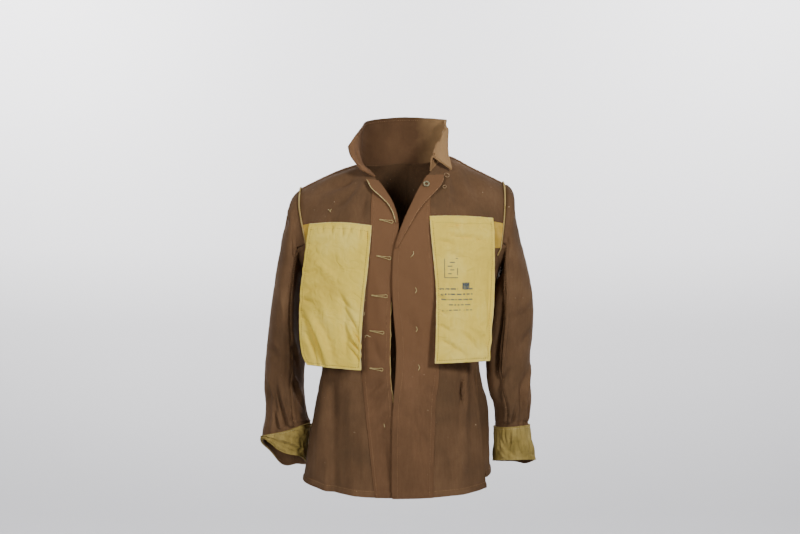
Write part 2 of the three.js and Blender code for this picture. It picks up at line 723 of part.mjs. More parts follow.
// The neckline from the right front round the nape to the left front, just past the cloth's edge.
function necklinePoints() {
  const rows = Array.from({ length: TOP_ROW - NECK_ROW + 1 }, (_, i) => NECK_ROW + i);
  const columns = Array.from({ length: NECK_STEPS - 1 }, (_, i) => NECK_COLUMN + 1 + i);
  const past = (edge, inside) => {
    const way = edge.clone().sub(inside).normalize();
    return edge.clone().addScaledVector(way, COLLAR_SEAT);
  };
  const end = FRONT_COLUMNS;
  const front = (whole) => rows.map((r) => past(whole.points[r][end], whole.points[r][end - 1]));
  const nape = columns.map((c) => past(back.points[TOP_ROW][c], back.points[TOP_ROW - 1][c]));
  return [...front(rightFront), ...nape, ...front(leftFront).reverse()];
}

function collarSurface() {
  const base = necklinePoints();
  const steps = base.map((point, i) => (i ? point.distanceTo(base[i - 1]) : 0));
  const whole = steps.reduce((a, b) => a + b, 0);
  let run = 0;
  const columns = base.map((point, i) => {
    run += steps[i];
    const at = sample(COLLAR, "way", run / whole);
    return [point, V(at.rollX, at.rollY, at.rollZ), V(at.tipX, at.tipY, at.tipZ)];
  });
  const points = Array.from({ length: COLLAR_ROWS }, (_, r) => {
    const t = r / (COLLAR_ROWS - 1);
    return columns.map(([low, roll, tip]) => {
      const through = roll.clone().multiplyScalar(2).addScaledVector(low, -0.5).addScaledVector(tip, -0.5);
      return low
        .clone()
        .multiplyScalar((1 - t) * (1 - t))
        .addScaledVector(through, 2 * t * (1 - t))
        .addScaledVector(tip, t * t);
    });
  });
  return { points, normals: sheetNormals(points, (point) => V(0, point.y, 0)) };
}

// Directions square to a sheet of points, turned to the side that outwards gives at its first row.
function sheetNormals(points, outwards) {
  const [lastR, lastC] = [points.length - 1, points[0].length - 1];
  const normals = points.map((row, r) =>
    row.map((_, c) => {
      const across = row[Math.min(lastC, c + 1)].clone().sub(row[Math.max(0, c - 1)]);
      const along = points[Math.min(lastR, r + 1)][c].clone().sub(points[Math.max(0, r - 1)][c]);
      return across.cross(along).normalize();
    }),
  );
  const middle = Math.floor(lastC / 2);
  if (normals[0][middle].dot(outwards(points[0][middle])) < 0) {
    normals.forEach((row) => row.forEach((normal) => normal.negate()));
  }
  return normals;
}

add("collar", wall(collarSurface(), -COLLAR_WALL, 0), COLOURS.collar);

// Pocket bags
function bagSurface(front, lines) {
  const rows = Array.from({ length: BAG_ROWS + 1 }, (_, i) => i / BAG_ROWS);
  const points = rows.map((down) => {
    const at = sample(lines, "part", down);
    return Array.from({ length: BAG_STEPS + 1 }, (_, c) => {
      const x = mix(at.outerX, at.innerX, c / BAG_STEPS);
      const round = Math.pow(1 - Math.pow(Math.abs(x) / BAG_WRAP, BAG_CORNER), 1 / BAG_CORNER);
      const hang = V(x, BAG_MIDDLE_Y + (BAG_FRONT - BAG_MIDDLE_Y) * round - at.stand, at.z);
      const sewn = topOfBag(front, at, c / BAG_STEPS);
      return sewn.lerp(hang, ramp(down, 0, BAG_SEWN));
    });
  });
  return { points, normals: sheetNormals(points, () => V(0, -1, 0)) };
}

// A place on the front where the bag's top edge is sewn down, and straight below it.
function topOfBag(front, at, across) {
  const x = mix(at.outerX, at.innerX, across);
  const height = (row) => front.points[row][HANG_COLUMN].z;
  let [r, c] = [0, 0];
  while (r < TOP_ROW - 1 && height(r + 1) < at.z) r += 1;
  const lift = (at.z - height(r)) / (height(r + 1) - height(r));
  const line = front.points[r].map((point, i) => point.clone().lerp(front.points[r + 1][i], lift));
  while (c < FRONT_COLUMNS - 1 && Math.abs(line[c + 1].x) > Math.abs(x)) c += 1;
  const part = (x - line[c].x) / (line[c + 1].x - line[c].x);
  const point = line[c].clone().lerp(line[c + 1], part);
  return V(x, point.y - BAG_SEAT - at.stand, point.z);
}

add("pocket_bag_right", wall(bagSurface(rightFront, RIGHT_BAG), 0, BAG_WALL), COLOURS.cotton);
add("pocket_bag_left", wall(bagSurface(leftFront, LEFT_BAG), 0, BAG_WALL), COLOURS.cotton);

// Lapels: the top of each front edge, turned outwards. wide is how far the free edge lies from
// the fold, and lift how far it stands off the front.
const RIGHT_LAPEL = table(["row", "wide", "lift"], [
  [0, 3, 1],
  [1, 8, 3],
  [2, 22, 6],
  [3, 19, 5],
]);
const LEFT_LAPEL = table(["row", "wide", "lift"], [
  [0, 4, 1.5],
  [1, 13, 3],
  [2, 20, 4],
  [3, 35, 6],
  [4, 24, 5],
]);
const LAPEL_SEAT = LAY + COTTON + 0.5;
const LAPEL_COLUMNS = 4;
const LAPEL_WALL = 1.8;
const UNDER_COLLAR = 3.5; // the lapel ends this far short of the neckline

// The place on a row of a front that lies a given way from its free edge, and the normal there.
function fromFreeEdge(front, row, way) {
  let [left, c] = [way, FRONT_COLUMNS];
  const step = () => front.points[row][c].distanceTo(front.points[row][c - 1]);
  while (c > 1 && left > step()) {
    left -= step();
    c -= 1;
  }
  const t = Math.min(1, left / step());
  const point = front.points[row][c].clone().lerp(front.points[row][c - 1], t);
  const normal = front.normals[row][c].clone().lerp(front.normals[row][c - 1], t);
  return { point, normal: normal.normalize() };
}

function addLapel(side, front, rows, lowest) {
  const cells = rows.map((at, r) =>
    Array.from({ length: LAPEL_COLUMNS + 1 }, (_, c) => {
      const across = c / LAPEL_COLUMNS;
      const { point, normal } = fromFreeEdge(front, lowest + r, at.wide * across);
      const lift = LAPEL_SEAT + at.lift * Math.sin((across * Math.PI) / 2);
      return { point: point.addScaledVector(normal, lift), normal };
    }),
  );
  const points = cells.map((row) => row.map((cell) => cell.point));
  const normals = cells.map((row) => row.map((cell) => cell.normal));
  const strip = seamed({ points, normals }, ["top"], UNDER_COLLAR);
  add("lapel_" + side, wall(strip, 0, LAPEL_WALL), COLOURS.facing);
}

addLapel("right", rightFront, RIGHT_LAPEL, NECK_ROW - 3);
addLapel("left", leftFront, LEFT_LAPEL, NECK_ROW - 4);

// Small hard pieces at the neck
const RING_RADIUS = 4.2;
const WIRE_RADIUS = 1.5;
const EYE_RADIUS = 4.5;
const HOOK_RADIUS = 2.9;
const EYE_WIRE = 0.9;
const WIRE_SIDES = 8;
const RING_STEPS = 20;
const BUTTON_SHANK = 3.4; // the ring hangs this far off the lapel by its thread
const EYE_LIFT = LAY + 0.3;
const RING_WAY = 9; // ways from the free edge to the middle of each ring
const EYE_WAY = 31;
const HOOK_WAY = 42;

// A ring lying on the left front, a given way from its free edge.
function addRing(name, row, way, radius, wire, standing) {
  const { point, normal } = fromFreeEdge(leftFront, row, way);
  const geometry = new THREE.TorusGeometry(radius, wire, WIRE_SIDES, RING_STEPS);
  geometry.applyQuaternion(new THREE.Quaternion().setFromUnitVectors(V(0, 0, 1), normal));
  const place = point.addScaledVector(normal, standing + wire);
  geometry.translate(place.x, place.y, place.z);
  add(name, geometry, COLOURS.metal, 0.5, 0.4);
}

const ON_LAPEL = LAPEL_SEAT + LAPEL_WALL;
addRing("ring_button", NECK_ROW - 1, RING_WAY, RING_RADIUS, WIRE_RADIUS, ON_LAPEL + BUTTON_SHANK);
addRing("collar_eye", NECK_ROW, EYE_WAY, EYE_RADIUS, EYE_WIRE, EYE_LIFT);
addRing("collar_hook", NECK_ROW - 1, HOOK_WAY, HOOK_RADIUS, EYE_WIRE, EYE_LIFT);

export default jacket;
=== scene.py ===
"""A wool field jacket, turned inside out and open down the front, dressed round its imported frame.

Shapes are worked out in millimetres and put into Blender in metres. The front faces -Y, and the
wearer's right side is at -X. Each cloth piece is a closed wall round a grid of points.
"""

from __future__ import annotations

import logging
import math
from dataclasses import dataclass, field
from enum import Enum
from typing import Sequence

import bpy
import numpy as np
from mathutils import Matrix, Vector


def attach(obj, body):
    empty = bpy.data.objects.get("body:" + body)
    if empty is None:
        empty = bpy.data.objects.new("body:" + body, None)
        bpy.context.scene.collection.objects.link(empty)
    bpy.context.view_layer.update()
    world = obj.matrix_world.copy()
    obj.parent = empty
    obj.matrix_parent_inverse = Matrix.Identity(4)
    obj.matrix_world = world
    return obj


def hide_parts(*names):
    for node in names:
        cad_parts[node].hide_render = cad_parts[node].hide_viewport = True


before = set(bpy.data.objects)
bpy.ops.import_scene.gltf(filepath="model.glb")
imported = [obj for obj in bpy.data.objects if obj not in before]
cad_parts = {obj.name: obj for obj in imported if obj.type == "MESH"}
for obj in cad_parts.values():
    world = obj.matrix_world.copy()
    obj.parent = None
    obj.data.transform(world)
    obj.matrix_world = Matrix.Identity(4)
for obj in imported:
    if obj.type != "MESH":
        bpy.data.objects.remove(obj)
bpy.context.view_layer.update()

LOG = logging.getLogger("jacket")
MM = 0.001
ROOT = "root"

Piece, Material = bpy.types.Object, bpy.types.Material
Node, Socket = bpy.types.Node, bpy.types.NodeSocket
Amount = np.ndarray | float

# Heights and walls, as on the solids
FRONT_HEM, BACK_HEM = -578.0, -560.0
UNDERARM, TURN_OVER, SHOULDER_TIP = -187.0, -150.0, -47.0
SHOULDER_Y, SHOULDER_ROUNDNESS = 8.0, 2.2
WOOL, COTTON, LAY, SEAM = 2.0, 1.2, 0.3, 0.2
BAG_WALL, BINDING_WIDTH, BINDING_HEIGHT = 1.6, 4.5, 4.5
FRONT_LAP, SEAM_RIDGE = 6.0, 1.8
NECK_OVER = 0.56  # how far over the shoulder the front edge meets the neckline
BINDING_BOTTOM = -163.0  # where the armhole tapes end
STAY_TOP, STAY_BOTTOM = -115.0, -150.0
FACING_OVER = 0.42  # how far over the shoulder the facing runs
LAPEL_WALL = 1.8
HEM_STITCHES = 9.0  # how far above the hem its stitches run
ALLOWANCE = 9.0  # the width of the seam allowances of the side seams


class Side(Enum):
    """The wearer's two sides, by where they lie in the frame."""

    RIGHT = "right"
    LEFT = "left"

    @property
    def sign(self) -> float:
        """Minus one for the wearer's right, which lies at -X."""
        return -1.0 if self is Side.RIGHT else 1.0


class Table:
    """Rows of sizes with named columns, read by a cubic curve through the rows."""

    def __init__(self, columns: str, *rows: Sequence[float]) -> None:
        """Keeps the rows.

        Args:
            columns: The names of the columns, with spaces between them.
            *rows: The rows, in rising order of the column they are read by.
        """
        self.names = columns.split()
        self.data = np.array(rows, dtype=float)

    def read(self, key: str, value: np.ndarray) -> dict[str, np.ndarray]:
        """Reads all columns at values of one, flat beyond the ends.

        Args:
            key: The column to read by.
            value: Where to read.

        Returns:
            Each column's values, by name.
        """
        x = self.data[:, self.names.index(key)]
        last = len(x) - 1
        value = np.asarray(value, dtype=float)
        i = np.searchsorted(x[1:-1], value, side="left")
        before, after = np.maximum(i - 1, 0), np.minimum(i + 2, last)
        span = x[i + 1] - x[i]
        t = np.clip((value - x[i]) / span, 0, 1)
        a, b = self.data[i], self.data[i + 1]
        slope_in = (b - self.data[before]) * (span / (x[i + 1] - x[before]))[..., None]
        slope_out = (self.data[after] - a) * (span / (x[after] - x[i]))[..., None]
        t = t[..., None]
        fall, rise = t * t * (3 - 2 * t), t * (1 - t)
        out = a + (b - a) * fall + rise * ((1 - t) * slope_in - t * slope_out)
        return {name: out[..., n] for n, name in enumerate(self.names)}


BODY = Table(
    "level left right front back side_left side_right corner seam",
    (-578, -176, 163, -110, 122, -8, 40, 2.3, 66),
    (-515, -169, 160, -108, 119, -8, 42, 2.3, 64),
    (-434, -155, 155, -104, 112, -8, 44, 2.3, 60),
    (-366, -143, 141, -100, 104, -6, 38, 2.3, 66),
    (-300, -152, 147, -103, 105, -4, 22, 2.35, 76),
    (-240, -167, 163, -110, 109, -2, 8, 2.4, 84),
    (-187, -176, 175, -113, 112, 0, 0, 2.4, 90),
    (-170, -187, 186, -112, 113, 2, 2, 2.4, 90),
    (-150, -193, 192, -111, 113, 4, 4, 2.4, 90),
    (-110, -204, 203, -106, 112, 6, 6, 2.4, 90),
    (-47, -215, 214, -98, 108, 8, 8, 2.4, 90),
)
SHOULDER = Table(
    "x front back",
    (-184, -47, -47),
    (-148, -29, -29),
    (-112, -13, -13),
    (-73, -1, -1),
    (0, 8, 34),
    (80, 9, 9),
    (122, -7, -7),
    (158, -24, -24),
    (184, -37, -37),
)
# scoop is how much further in the armhole lies in front
ARMHOLE = Table(
    "level right left scoop_right scoop_left",
    (-187, -176, 175, 0, 0),
    (-183, -177.5, 176.5, 3, 3),
    (-175, -179, 178, 9, 8),
    (-163, -180, 179, 14, 11),
    (-150, -181, 180, 13, 6),
    (-84, -183, 182.5, 1, 0),
    (-47, -184, 184, 0, 0),
)
FRONT_LINES = {
    Side.RIGHT: Table(
        "level bag facing edge",
        (-578, -150, -46, -11),
        (-510, -147, -54, -11),
        (-434, -134, -62, -14),
        (-366, -122, -68, -20.5),
        (-300, -130, -69, -20.5),
        (-240, -143, -67, -19),
        (-187, -152, -61, -14),
        (-150, -157, -56, -11),
        (-124, -160, -53, -7),
        (-103, -160, -52.5, -14),
        (-84, -159, -52, -29),
        (-69, -157, -60, -46),
        (-59, -155, -67, -57),
        (-53, -153, -74, -66),
        (-47, -150, -80, -73),
    ),
    Side.LEFT: Table(
        "level bag facing edge",
        (-578, 128, 52, -17),
        (-510, 124, 53, -17),
        (-434, 116, 55, -15),
        (-366, 110, 61, -10),
        (-320, 116, 59, -9),
        (-240, 138, 57, -15),
        (-187, 150, 54, -15.5),
        (-150, 155, 50, -12),
        (-124, 157, 48, 1),
        (-103, 157, 47, 16),
        (-84, 156, 50, 31),
        (-69, 155, 58, 48),
        (-59, 154, 68, 62),
        (-53, 153, 77, 72),
        (-47, 152, 84, 80),
    ),
}

# Folds that run down the body: middle at the top, lean for each millimetre down, top, bottom,
# width and depth outwards.
FRONT_FOLDS = (
    (-138, 0.02, -385, -640, 11, 5),
    (-121, 0.02, -380, -600, 9, -7),
    (-104, 0.03, -460, -620, 12, -5),
    (105, -0.04, -340, -480, 8, -4),
    (118, -0.05, -330, -640, 14, 3),
    (-118, -0.5, -12, -120, 12, -4),
    (-92, -0.35, -20, -110, 9, -4),
)
BACK_FOLDS = (
    (-70, 0.05, -380, -640, 18, 6),
    (62, -0.06, -400, -640, 17, 5),
    (0, 0.02, -300, -420, 40, -5),
    (110, -0.1, -330, -560, 14, -4),
)

# Sections down each sleeve: outer_x, outer_z, inner_x, inner_z, y, depth and drop of the back rim.
SLEEVE_SECTIONS = {
    Side.RIGHT: [
        [-193, -56, -179, -190, 6, 60, 0],
        [-201, -70, -180.5, -197, 8, 65, 0],
        [-210, -108, -182, -212, 12, 69, 0],
        [-219, -150, -182.5, -230, 16, 72, 0],
        [-230, -211, -183, -262, 22, 73, 0],
        [-240, -274, -182, -305, 30, 71, 0],
        [-249, -346, -178, -350, 38, 66, 0],
        [-253, -401, -181, -401, 42, 62, 0],
        [-251, -450, -176, -452, 40, 57, 3],
        [-256, -486, -170, -470, 36, 52, 7],
        [-257, -499, -169, -474, 34, 50, 10],
        [-256, -507, -177, -545, 28, 46, 22],
    ],
    Side.LEFT: [
        [191, -39, 179, -190, 6, 60, 0],
        [200, -51, 179.5, -198, 8, 65, 0],
        [203, -85, 175.5, -212, 12, 69, 0],
        [210, -121, 171.5, -230, 16, 72, 0],
        [225, -176, 167, -262, 22, 73, 0],
        [237, -232, 162.5, -305, 30, 71, 0],
        [240, -290, 157, -350, 38, 66, 0],
        [234, -372, 161, -401, 42, 62, 0],
        [238, -426, 170, -443, 40, 57, 3],
        [234, -462, 172, -468, 37, 52, 5],
        [232, -476, 172, -480, 36, 50, 6],
        [243, -542, 170, -543, 32, 47, 11],
    ],
}
CUFF_STEP = 11.0  # the section where the cuff facing begins
SLEEVE_CORNER, SLEEVE_GAP = 2.2, 0.4
# Folds of the sleeves: place in degrees of turn, top, bottom, width in degrees and depth
SLEEVE_FOLDS = (
    (100, -300, -440, 16, 4),
    (70, -400, -500, 9, -4),
    (48, -410, -500, 8, -3),
    (250, -300, -460, 16, -4),
    (300, -340, -470, 14, 3),
)
# Where the end of each sleeve sags: place and width in degrees of turn, and the drop.
CUFF_SAGS = {Side.RIGHT: ((278, 24, 15.0), (92, 36, 12.0)), Side.LEFT: ((312, 26, 5.0),)}
# The inner side by the front: drawn in on the right sleeve, full on the left one.
INNER_FOLDS = {Side.RIGHT: (150, -220, -420, 20, -4), Side.LEFT: (150, -206, -430, 26, 8)}

COLLAR = Table(
    "way roll_x roll_y roll_z tip_x tip_y tip_z",
    (0.0, -80, -73, -6, -94, -60, 27),
    (0.1, -77, -50, 10, -84, -33, 46),
    (0.22, -77, -4, 30, -73, 0, 64),
    (0.35, -62, 50, 42, -60, 48, 82),
    (0.5, 2, 76, 46, 2, 84, 91),
    (0.65, 72, 48, 44, 77, 46, 84),
    (0.74, 80, 20, 52, 79, 20, 77),
    (0.79, 78, 5, 69, 82, 6, 59),
    (0.83, 71, -11, 56, 81, -10, 40),
    (0.88, 64, -30, 41, 80, -30, 23),
    (0.94, 56, -50, 21, 83, -48, 4),
    (1.0, 52, -68, 10, 86, -62, -14),
)

BAGS = {
    Side.RIGHT: Table(
        "part outer_x inner_x z stand",
        (0.0, -160, -52.5, -109, 0),
        (0.1, -163, -54, -133, 3),
        (0.3, -170, -59, -184, 5),
        (0.5, -176, -65, -236, 7),
        (0.7, -177, -69, -285, 9),
        (0.9, -172, -70, -332, 9),
        (1.0, -163, -70, -351, 8),
    ),
    Side.LEFT: Table(
        "part outer_x inner_x z stand",
        (0.0, 157, 47, -99, 0),
        (0.1, 158, 49, -125, 3),
        (0.3, 158, 54, -174, 5),
        (0.5, 157, 58, -222, 7),
        (0.7, 155, 58, -272, 9),
        (0.9, 152, 57, -320, 9),
        (1.0, 150, 56, -343, 8),
    ),
}
BAG_WRAP, BAG_FRONT, BAG_MIDDLE_Y, BAG_SEAT = 215.0, -114.0, 6.0, 2.6


def spow(value: np.ndarray, power: Amount) -> np.ndarray:
    """A power that keeps its sign."""
    return np.sign(value) * np.abs(value) ** power


def bell(distance: np.ndarray, width: float) -> np.ndarray:
    """One at no distance, falling away like a bell over a width."""
    return np.exp(-((distance / width) ** 2))


def ramp(value: np.ndarray, low: float, high: float) -> np.ndarray:
    """Rises from 0 to 1 between two values with soft ends."""
    t = np.clip((value - low) / (high - low), 0, 1)
    return t * t * (3 - 2 * t)


@dataclass(frozen=True)
class Crease:
    """A soft trough or ridge from one place to another on a cloth, in millimetres.

    A depth below zero is a trough. bow bends its line sideways at the middle.
    """

    x0: float
    z0: float
    x1: float
    z1: float
    width: float
    depth: float
    bow: float = 0.0

    def relief(self, x: np.ndarray, z: np.ndarray) -> np.ndarray:
        """How far the crease moves each place outwards.

        Across it lies a bell with a lower one of the other sense beside it, as where cloth rolls
        into a fold. Both fade towards its ends.
        """
        run = np.array([self.x1 - self.x0, self.z1 - self.z0])
        length = float(np.hypot(*run))
        run = run / length
        along = ((x - self.x0) * run[0] + (z - self.z0) * run[1]) / length
        t = np.clip(along, 0, 1)
        beyond = (along - t) * length
        across = (x - self.x0) * -run[1] + (z - self.z0) * run[0] - self.bow * 4 * t * (1 - t)
        taper = np.sin(math.pi * np.clip(t, 0.02, 0.98)) ** 0.7
        shape = bell(across, self.width) - 0.5 * bell(across - 2.1 * self.width, 1.4 * self.width)
        return 1.25 * self.depth * taper * shape * bell(beyond, self.width)


def creases(*rows: Sequence[float]) -> tuple[Crease, ...]:
    """Creases from rows of x0, z0, x1, z1, width, depth and bow."""
    return tuple(Crease(*row) for row in rows)


def relief_of(table: Sequence[Crease], x: np.ndarray, z: np.ndarray) -> np.ndarray:
    """The sum of several creases."""
    return sum((crease.relief(x, z) for crease in table), np.zeros_like(x))


def ripple(x: np.ndarray, z: np.ndarray, height: float, seed: int, size: float = 60.0) -> np.ndarray:
    """Uneven low waves of cloth: a sum of slanted sines whose directions and phases are seeded.

    Args:
        x: Places across the cloth.
        z: Places along it.
        height: About the tallest wave.
        seed: Chooses the waves.
        size: The longest wave's length.

    Returns:
        The outward movement at each place.
    """
    rng = np.random.default_rng(seed)
    total = np.zeros_like(x)
    for octave in range(7):
        angle, phase = rng.uniform(0, math.pi), rng.uniform(0, 2 * math.pi)
        wave = size / (1.0 + 0.45 * octave)
        turn = (x * math.cos(angle) + z * math.sin(angle)) * 2 * math.pi / wave
        total += np.sin(turn + phase + 1.3 * np.sin(turn * 0.37 + phase)) / (1.0 + 0.6 * octave)
    return total * height / 2.6


def climb_at(height: np.ndarray) -> tuple[np.ndarray, np.ndarray, np.ndarray]:
    """How far up a place lies.

    Args:
        height: Below 0 in millimetres under TURN_OVER; 0 to 1 is the way over the shoulder.

    Returns:
        The climb from 0 to 1, the reach that falls from 1 to 0 with it, and the table level.
    """
    turn = np.maximum(height, 0) * math.pi / 2
    climb = np.sin(turn) ** (2 / SHOULDER_ROUNDNESS)
    reach = spow(np.cos(turn), 2 / SHOULDER_ROUNDNESS)
    level = TURN_OVER + np.minimum(height, 0) + (SHOULDER_TIP - TURN_OVER) * climb
    return climb, reach, level


def fold_depth(folds: Sequence[tuple], x: np.ndarray, z: np.ndarray) -> np.ndarray:
    """The long folds of a face: a bell across each, with soft ends."""
    total = np.zeros_like(x)
    for middle, lean, top, bottom, width, depth in folds:
        fade = min(30.0, (top - bottom) / 3)
        along = ramp(-z, -top - fade, -top + fade) * ramp(z, bottom - fade, bottom + fade)
        total += depth * along * bell(x - middle - lean * (top - z), width)
    return total


def body_point(turn: np.ndarray, height: np.ndarray) -> np.ndarray:
    """Places on the body: superellipse rings, drawn in over the shoulders.

    Args:
        turn: 0 at the front middle, a quarter turn at the widest place, plus towards +X.
        height: As climb_at has it.

    Returns:
        The places, with x, y and z in the last axis.
    """
    climb, reach, level = climb_at(height)
    ring = BODY.read("level", level)
    middle, half = (ring["left"] + ring["right"]) / 2, (ring["right"] - ring["left"]) / 2
    x = middle + half * spow(np.sin(turn), 2 / ring["corner"])
    side = np.where(turn > 0, ring["side_right"], ring["side_left"])
    behind = np.abs(turn) > math.pi / 2
    depth = np.abs(np.cos(turn)) ** (2 / ring["corner"])
    ring_y = side + (np.where(behind, ring["back"], ring["front"]) - side) * depth
    shoulder = SHOULDER.read("x", x)
    line = np.where(behind, shoulder["back"], shoulder["front"])
    z = TURN_OVER + np.minimum(height, 0) + (line - TURN_OVER) * climb
    folds = np.where(behind, fold_depth(BACK_FOLDS, x, z), fold_depth(FRONT_FOLDS, x, z))
    folds = folds * np.minimum(1, depth * 1.6) * np.abs(reach)
    y = SHOULDER_Y + (ring_y - SHOULDER_Y) * np.where(climb > 0, reach, 1.0)
    return np.stack([x, y + np.where(behind, folds, -folds), z], axis=-1)


def turn_at(x: np.ndarray, height: np.ndarray, behind: bool = False) -> np.ndarray:
    """The turn at which the body has a given x: the superellipse read backwards."""
    ring = BODY.read("level", climb_at(height)[2])
    middle = (ring["left"] + ring["right"]) / 2
    share = np.minimum(1, np.abs(x - middle) * 2 / (ring["right"] - ring["left"]))
    turn = np.arcsin(share ** (ring["corner"] / 2))
    return np.sign(x - middle) * (math.pi - turn if behind else turn)


def edge_turn(side: Side, height: np.ndarray, behind: bool) -> np.ndarray:
    """The turn of the side seam, or of the armhole above it."""
    level = climb_at(height)[2]
    at = ARMHOLE.read("level", level)
    scoop = 0 if behind else at["scoop_" + side.value]
    arm = turn_at(at[side.value] - side.sign * scoop, height, behind)
    seam = np.radians(BODY.read("level", level)["seam"])
    low = np.full_like(level, -math.pi / 2) if side is Side.RIGHT else seam
    return np.where(level > UNDERARM + 0.01, arm, low)


def unit(vectors: np.ndarray) -> np.ndarray:
    """The same directions with a length of one."""
    return vectors / np.maximum(np.linalg.norm(vectors, axis=-1, keepdims=True), 1e-9)


def run_along(points: np.ndarray, axis: int = 0) -> np.ndarray:
    """The way from the first place to each one, along a line or along an axis of a grid."""
    steps = np.linalg.norm(np.diff(points, axis=axis), axis=-1)
    return np.insert(np.cumsum(steps, axis=axis), 0, 0.0, axis=axis)


def read_line(values: np.ndarray, run: np.ndarray, at: np.ndarray) -> np.ndarray:
    """The places or directions of a line, read at given ways along it."""
    return np.stack([np.interp(at, run, values[:, k]) for k in range(3)], axis=-1)


def outwards(points: np.ndarray, quads: np.ndarray) -> np.ndarray:
    """The faces of a closed form, all turned round if they face inwards."""
    a, b, c, d = (points[quads[:, k]] for k in range(4))
    volume = np.sum(np.cross(c - a, d - b) * (a + b + c + d))
    return quads[:, ::-1] if volume < 0 else quads


def surface_normals(points: np.ndarray, closed: bool = False) -> np.ndarray:
    """Directions square to a grid of places, by the cross product of its two slopes."""
    if closed:
        across = np.roll(points, -1, axis=1) - np.roll(points, 1, axis=1)
    else:
        across = np.gradient(points, axis=1)
    return unit(np.cross(across, np.gradient(points, axis=0)))


def turned_out(normals: np.ndarray, away: np.ndarray) -> np.ndarray:
    """The directions, each turned round where it points against another one."""
    against = np.sum(normals * away, axis=-1, keepdims=True) < 0
    return np.where(against, -normals, normals)


def body_normals(points: np.ndarray) -> np.ndarray:
    """Directions out of a body panel, turned away from the middle of the chest."""
    middle = np.zeros_like(points)
    middle[..., 1] = SHOULDER_Y
    middle[..., 2] = np.minimum(points[..., 2], TURN_OVER)
    return turned_out(surface_normals(points), points - middle)


@dataclass
class Cloth:
    """A grid of places, the directions out of it, and what its finish reads.

    points and normals have rows, columns and three numbers. uv is in millimetres along the cloth.
    """

    points: np.ndarray
    normals: np.ndarray
    closed: bool = False
    uv: np.ndarray | None = None

    def __post_init__(self) -> None:
        """Measures the cloth's own coordinates where none are given."""
        if self.uv is None:
            across = np.linalg.norm(np.diff(self.points, axis=1), axis=-1).mean(axis=0)
            along = np.linalg.norm(np.diff(self.points, axis=0), axis=-1).mean(axis=1)
            u = np.concatenate([[0], np.cumsum(across)])
            v = np.concatenate([[0], np.cumsum(along)])
            self.uv = np.stack(np.meshgrid(u, v), axis=-1)

    def part(self, rows: slice, columns: slice) -> "Cloth":
        """The rows and columns of the cloth that a smaller piece takes."""
        uv = self.uv[rows, columns]
        return Cloth(self.points[rows, columns], self.normals[rows, columns], False, uv)

    def line(self, where: tuple) -> tuple[np.ndarray, np.ndarray]:
        """The places and the directions along a row, a column or a part of one."""
        return self.points[where], self.normals[where]

    def moved(self, distance: Amount) -> "Cloth":
        """The same cloth moved out along its directions, all over or by a relief."""
        distance = np.broadcast_to(distance, self.points.shape[:2])[..., None]
        return Cloth(self.points + self.normals * distance, self.normals, self.closed, self.uv)

    def seamed(self, edges: str, gap: float = SEAM) -> "Cloth":
        """Moves the named edges back from their seams.

        Args:
            edges: Any of first, last, top and bottom, with spaces between them.
            gap: How far.

        Returns:
            A new cloth.
        """
        points = self.points.copy()
        for edge, there, inside in (
            ("first", np.s_[:, 0], np.s_[:, 1]),
            ("last", np.s_[:, -1], np.s_[:, -2]),
            ("top", np.s_[-1], np.s_[-2]),
            ("bottom", np.s_[0], np.s_[1]),
        ):
            if edge in edges.split():
                way = points[inside] - points[there]
                length = np.linalg.norm(way, axis=-1, keepdims=True)
                points[there] += way * (gap / np.maximum(length, gap * 1.5))
        return Cloth(points, self.normals, self.closed, self.uv)

    def spans(self) -> tuple[float, float, float]:
        """The longest row, the longest column and the area, in metres: the cut it needs."""
        grid = self.points
        if self.closed:
            grid = np.concatenate([grid, grid[:, :1]], axis=1)
        rows = np.linalg.norm(np.diff(grid, axis=1), axis=-1)
        columns = np.linalg.norm(np.diff(grid, axis=0), axis=-1)
        a, b = grid[1:, 1:] - grid[:-1, :-1], grid[1:, :-1] - grid[:-1, 1:]
        area = np.linalg.norm(np.cross(a, b), axis=-1).sum() / 2
        return rows.sum(axis=1).max() * MM, columns.sum(axis=0).max() * MM, area * MM * MM


def put_mesh(name: str, points: np.ndarray, quads: np.ndarray, uv: np.ndarray | None = None) -> Piece:
    """Puts points and four-sided faces into a new mesh object at the origin.

    Args:
        name: The piece's name.
        points: Places in millimetres.
        quads: Four point numbers for each face.
        uv: Each point's place on the cloth, in millimetres.

    Returns:
        The new object.
    """
    mesh = bpy.data.meshes.new(name)
    mesh.vertices.add(len(points))
    mesh.vertices.foreach_set("co", (points * MM).astype(np.float32).ravel())
    mesh.loops.add(quads.size)
    mesh.loops.foreach_set("vertex_index", quads.astype(np.int32).ravel())
    mesh.polygons.add(len(quads))
    mesh.polygons.foreach_set("loop_start", np.arange(0, quads.size, 4, dtype=np.int32))
    mesh.polygons.foreach_set("use_smooth", np.ones(len(quads), dtype=bool))
    if uv is not None:
        layer = mesh.uv_layers.new(name="cloth")
        layer.data.foreach_set("uv", (uv[quads.ravel()] * MM).astype(np.float32).ravel())
    mesh.update(calc_edges=True)
    mesh.validate()
    mesh.set_sharp_from_angle(angle=math.radians(50))
    piece = bpy.data.objects.new(name, mesh)
    bpy.context.scene.collection.objects.link(piece)
    return piece


def grid_quads(rows: int, columns: int, closed: bool) -> np.ndarray:
    """Point numbers of the faces of a grid, row by row."""
    steps = columns if closed else columns - 1
    r, c = np.meshgrid(np.arange(rows - 1), np.arange(steps), indexing="ij")
    r, c, d = r.ravel(), c.ravel(), (c.ravel() + 1) % columns
    low, high = r * columns, (r + 1) * columns
    return np.stack([low + c, low + d, high + d, high + c], axis=-1)


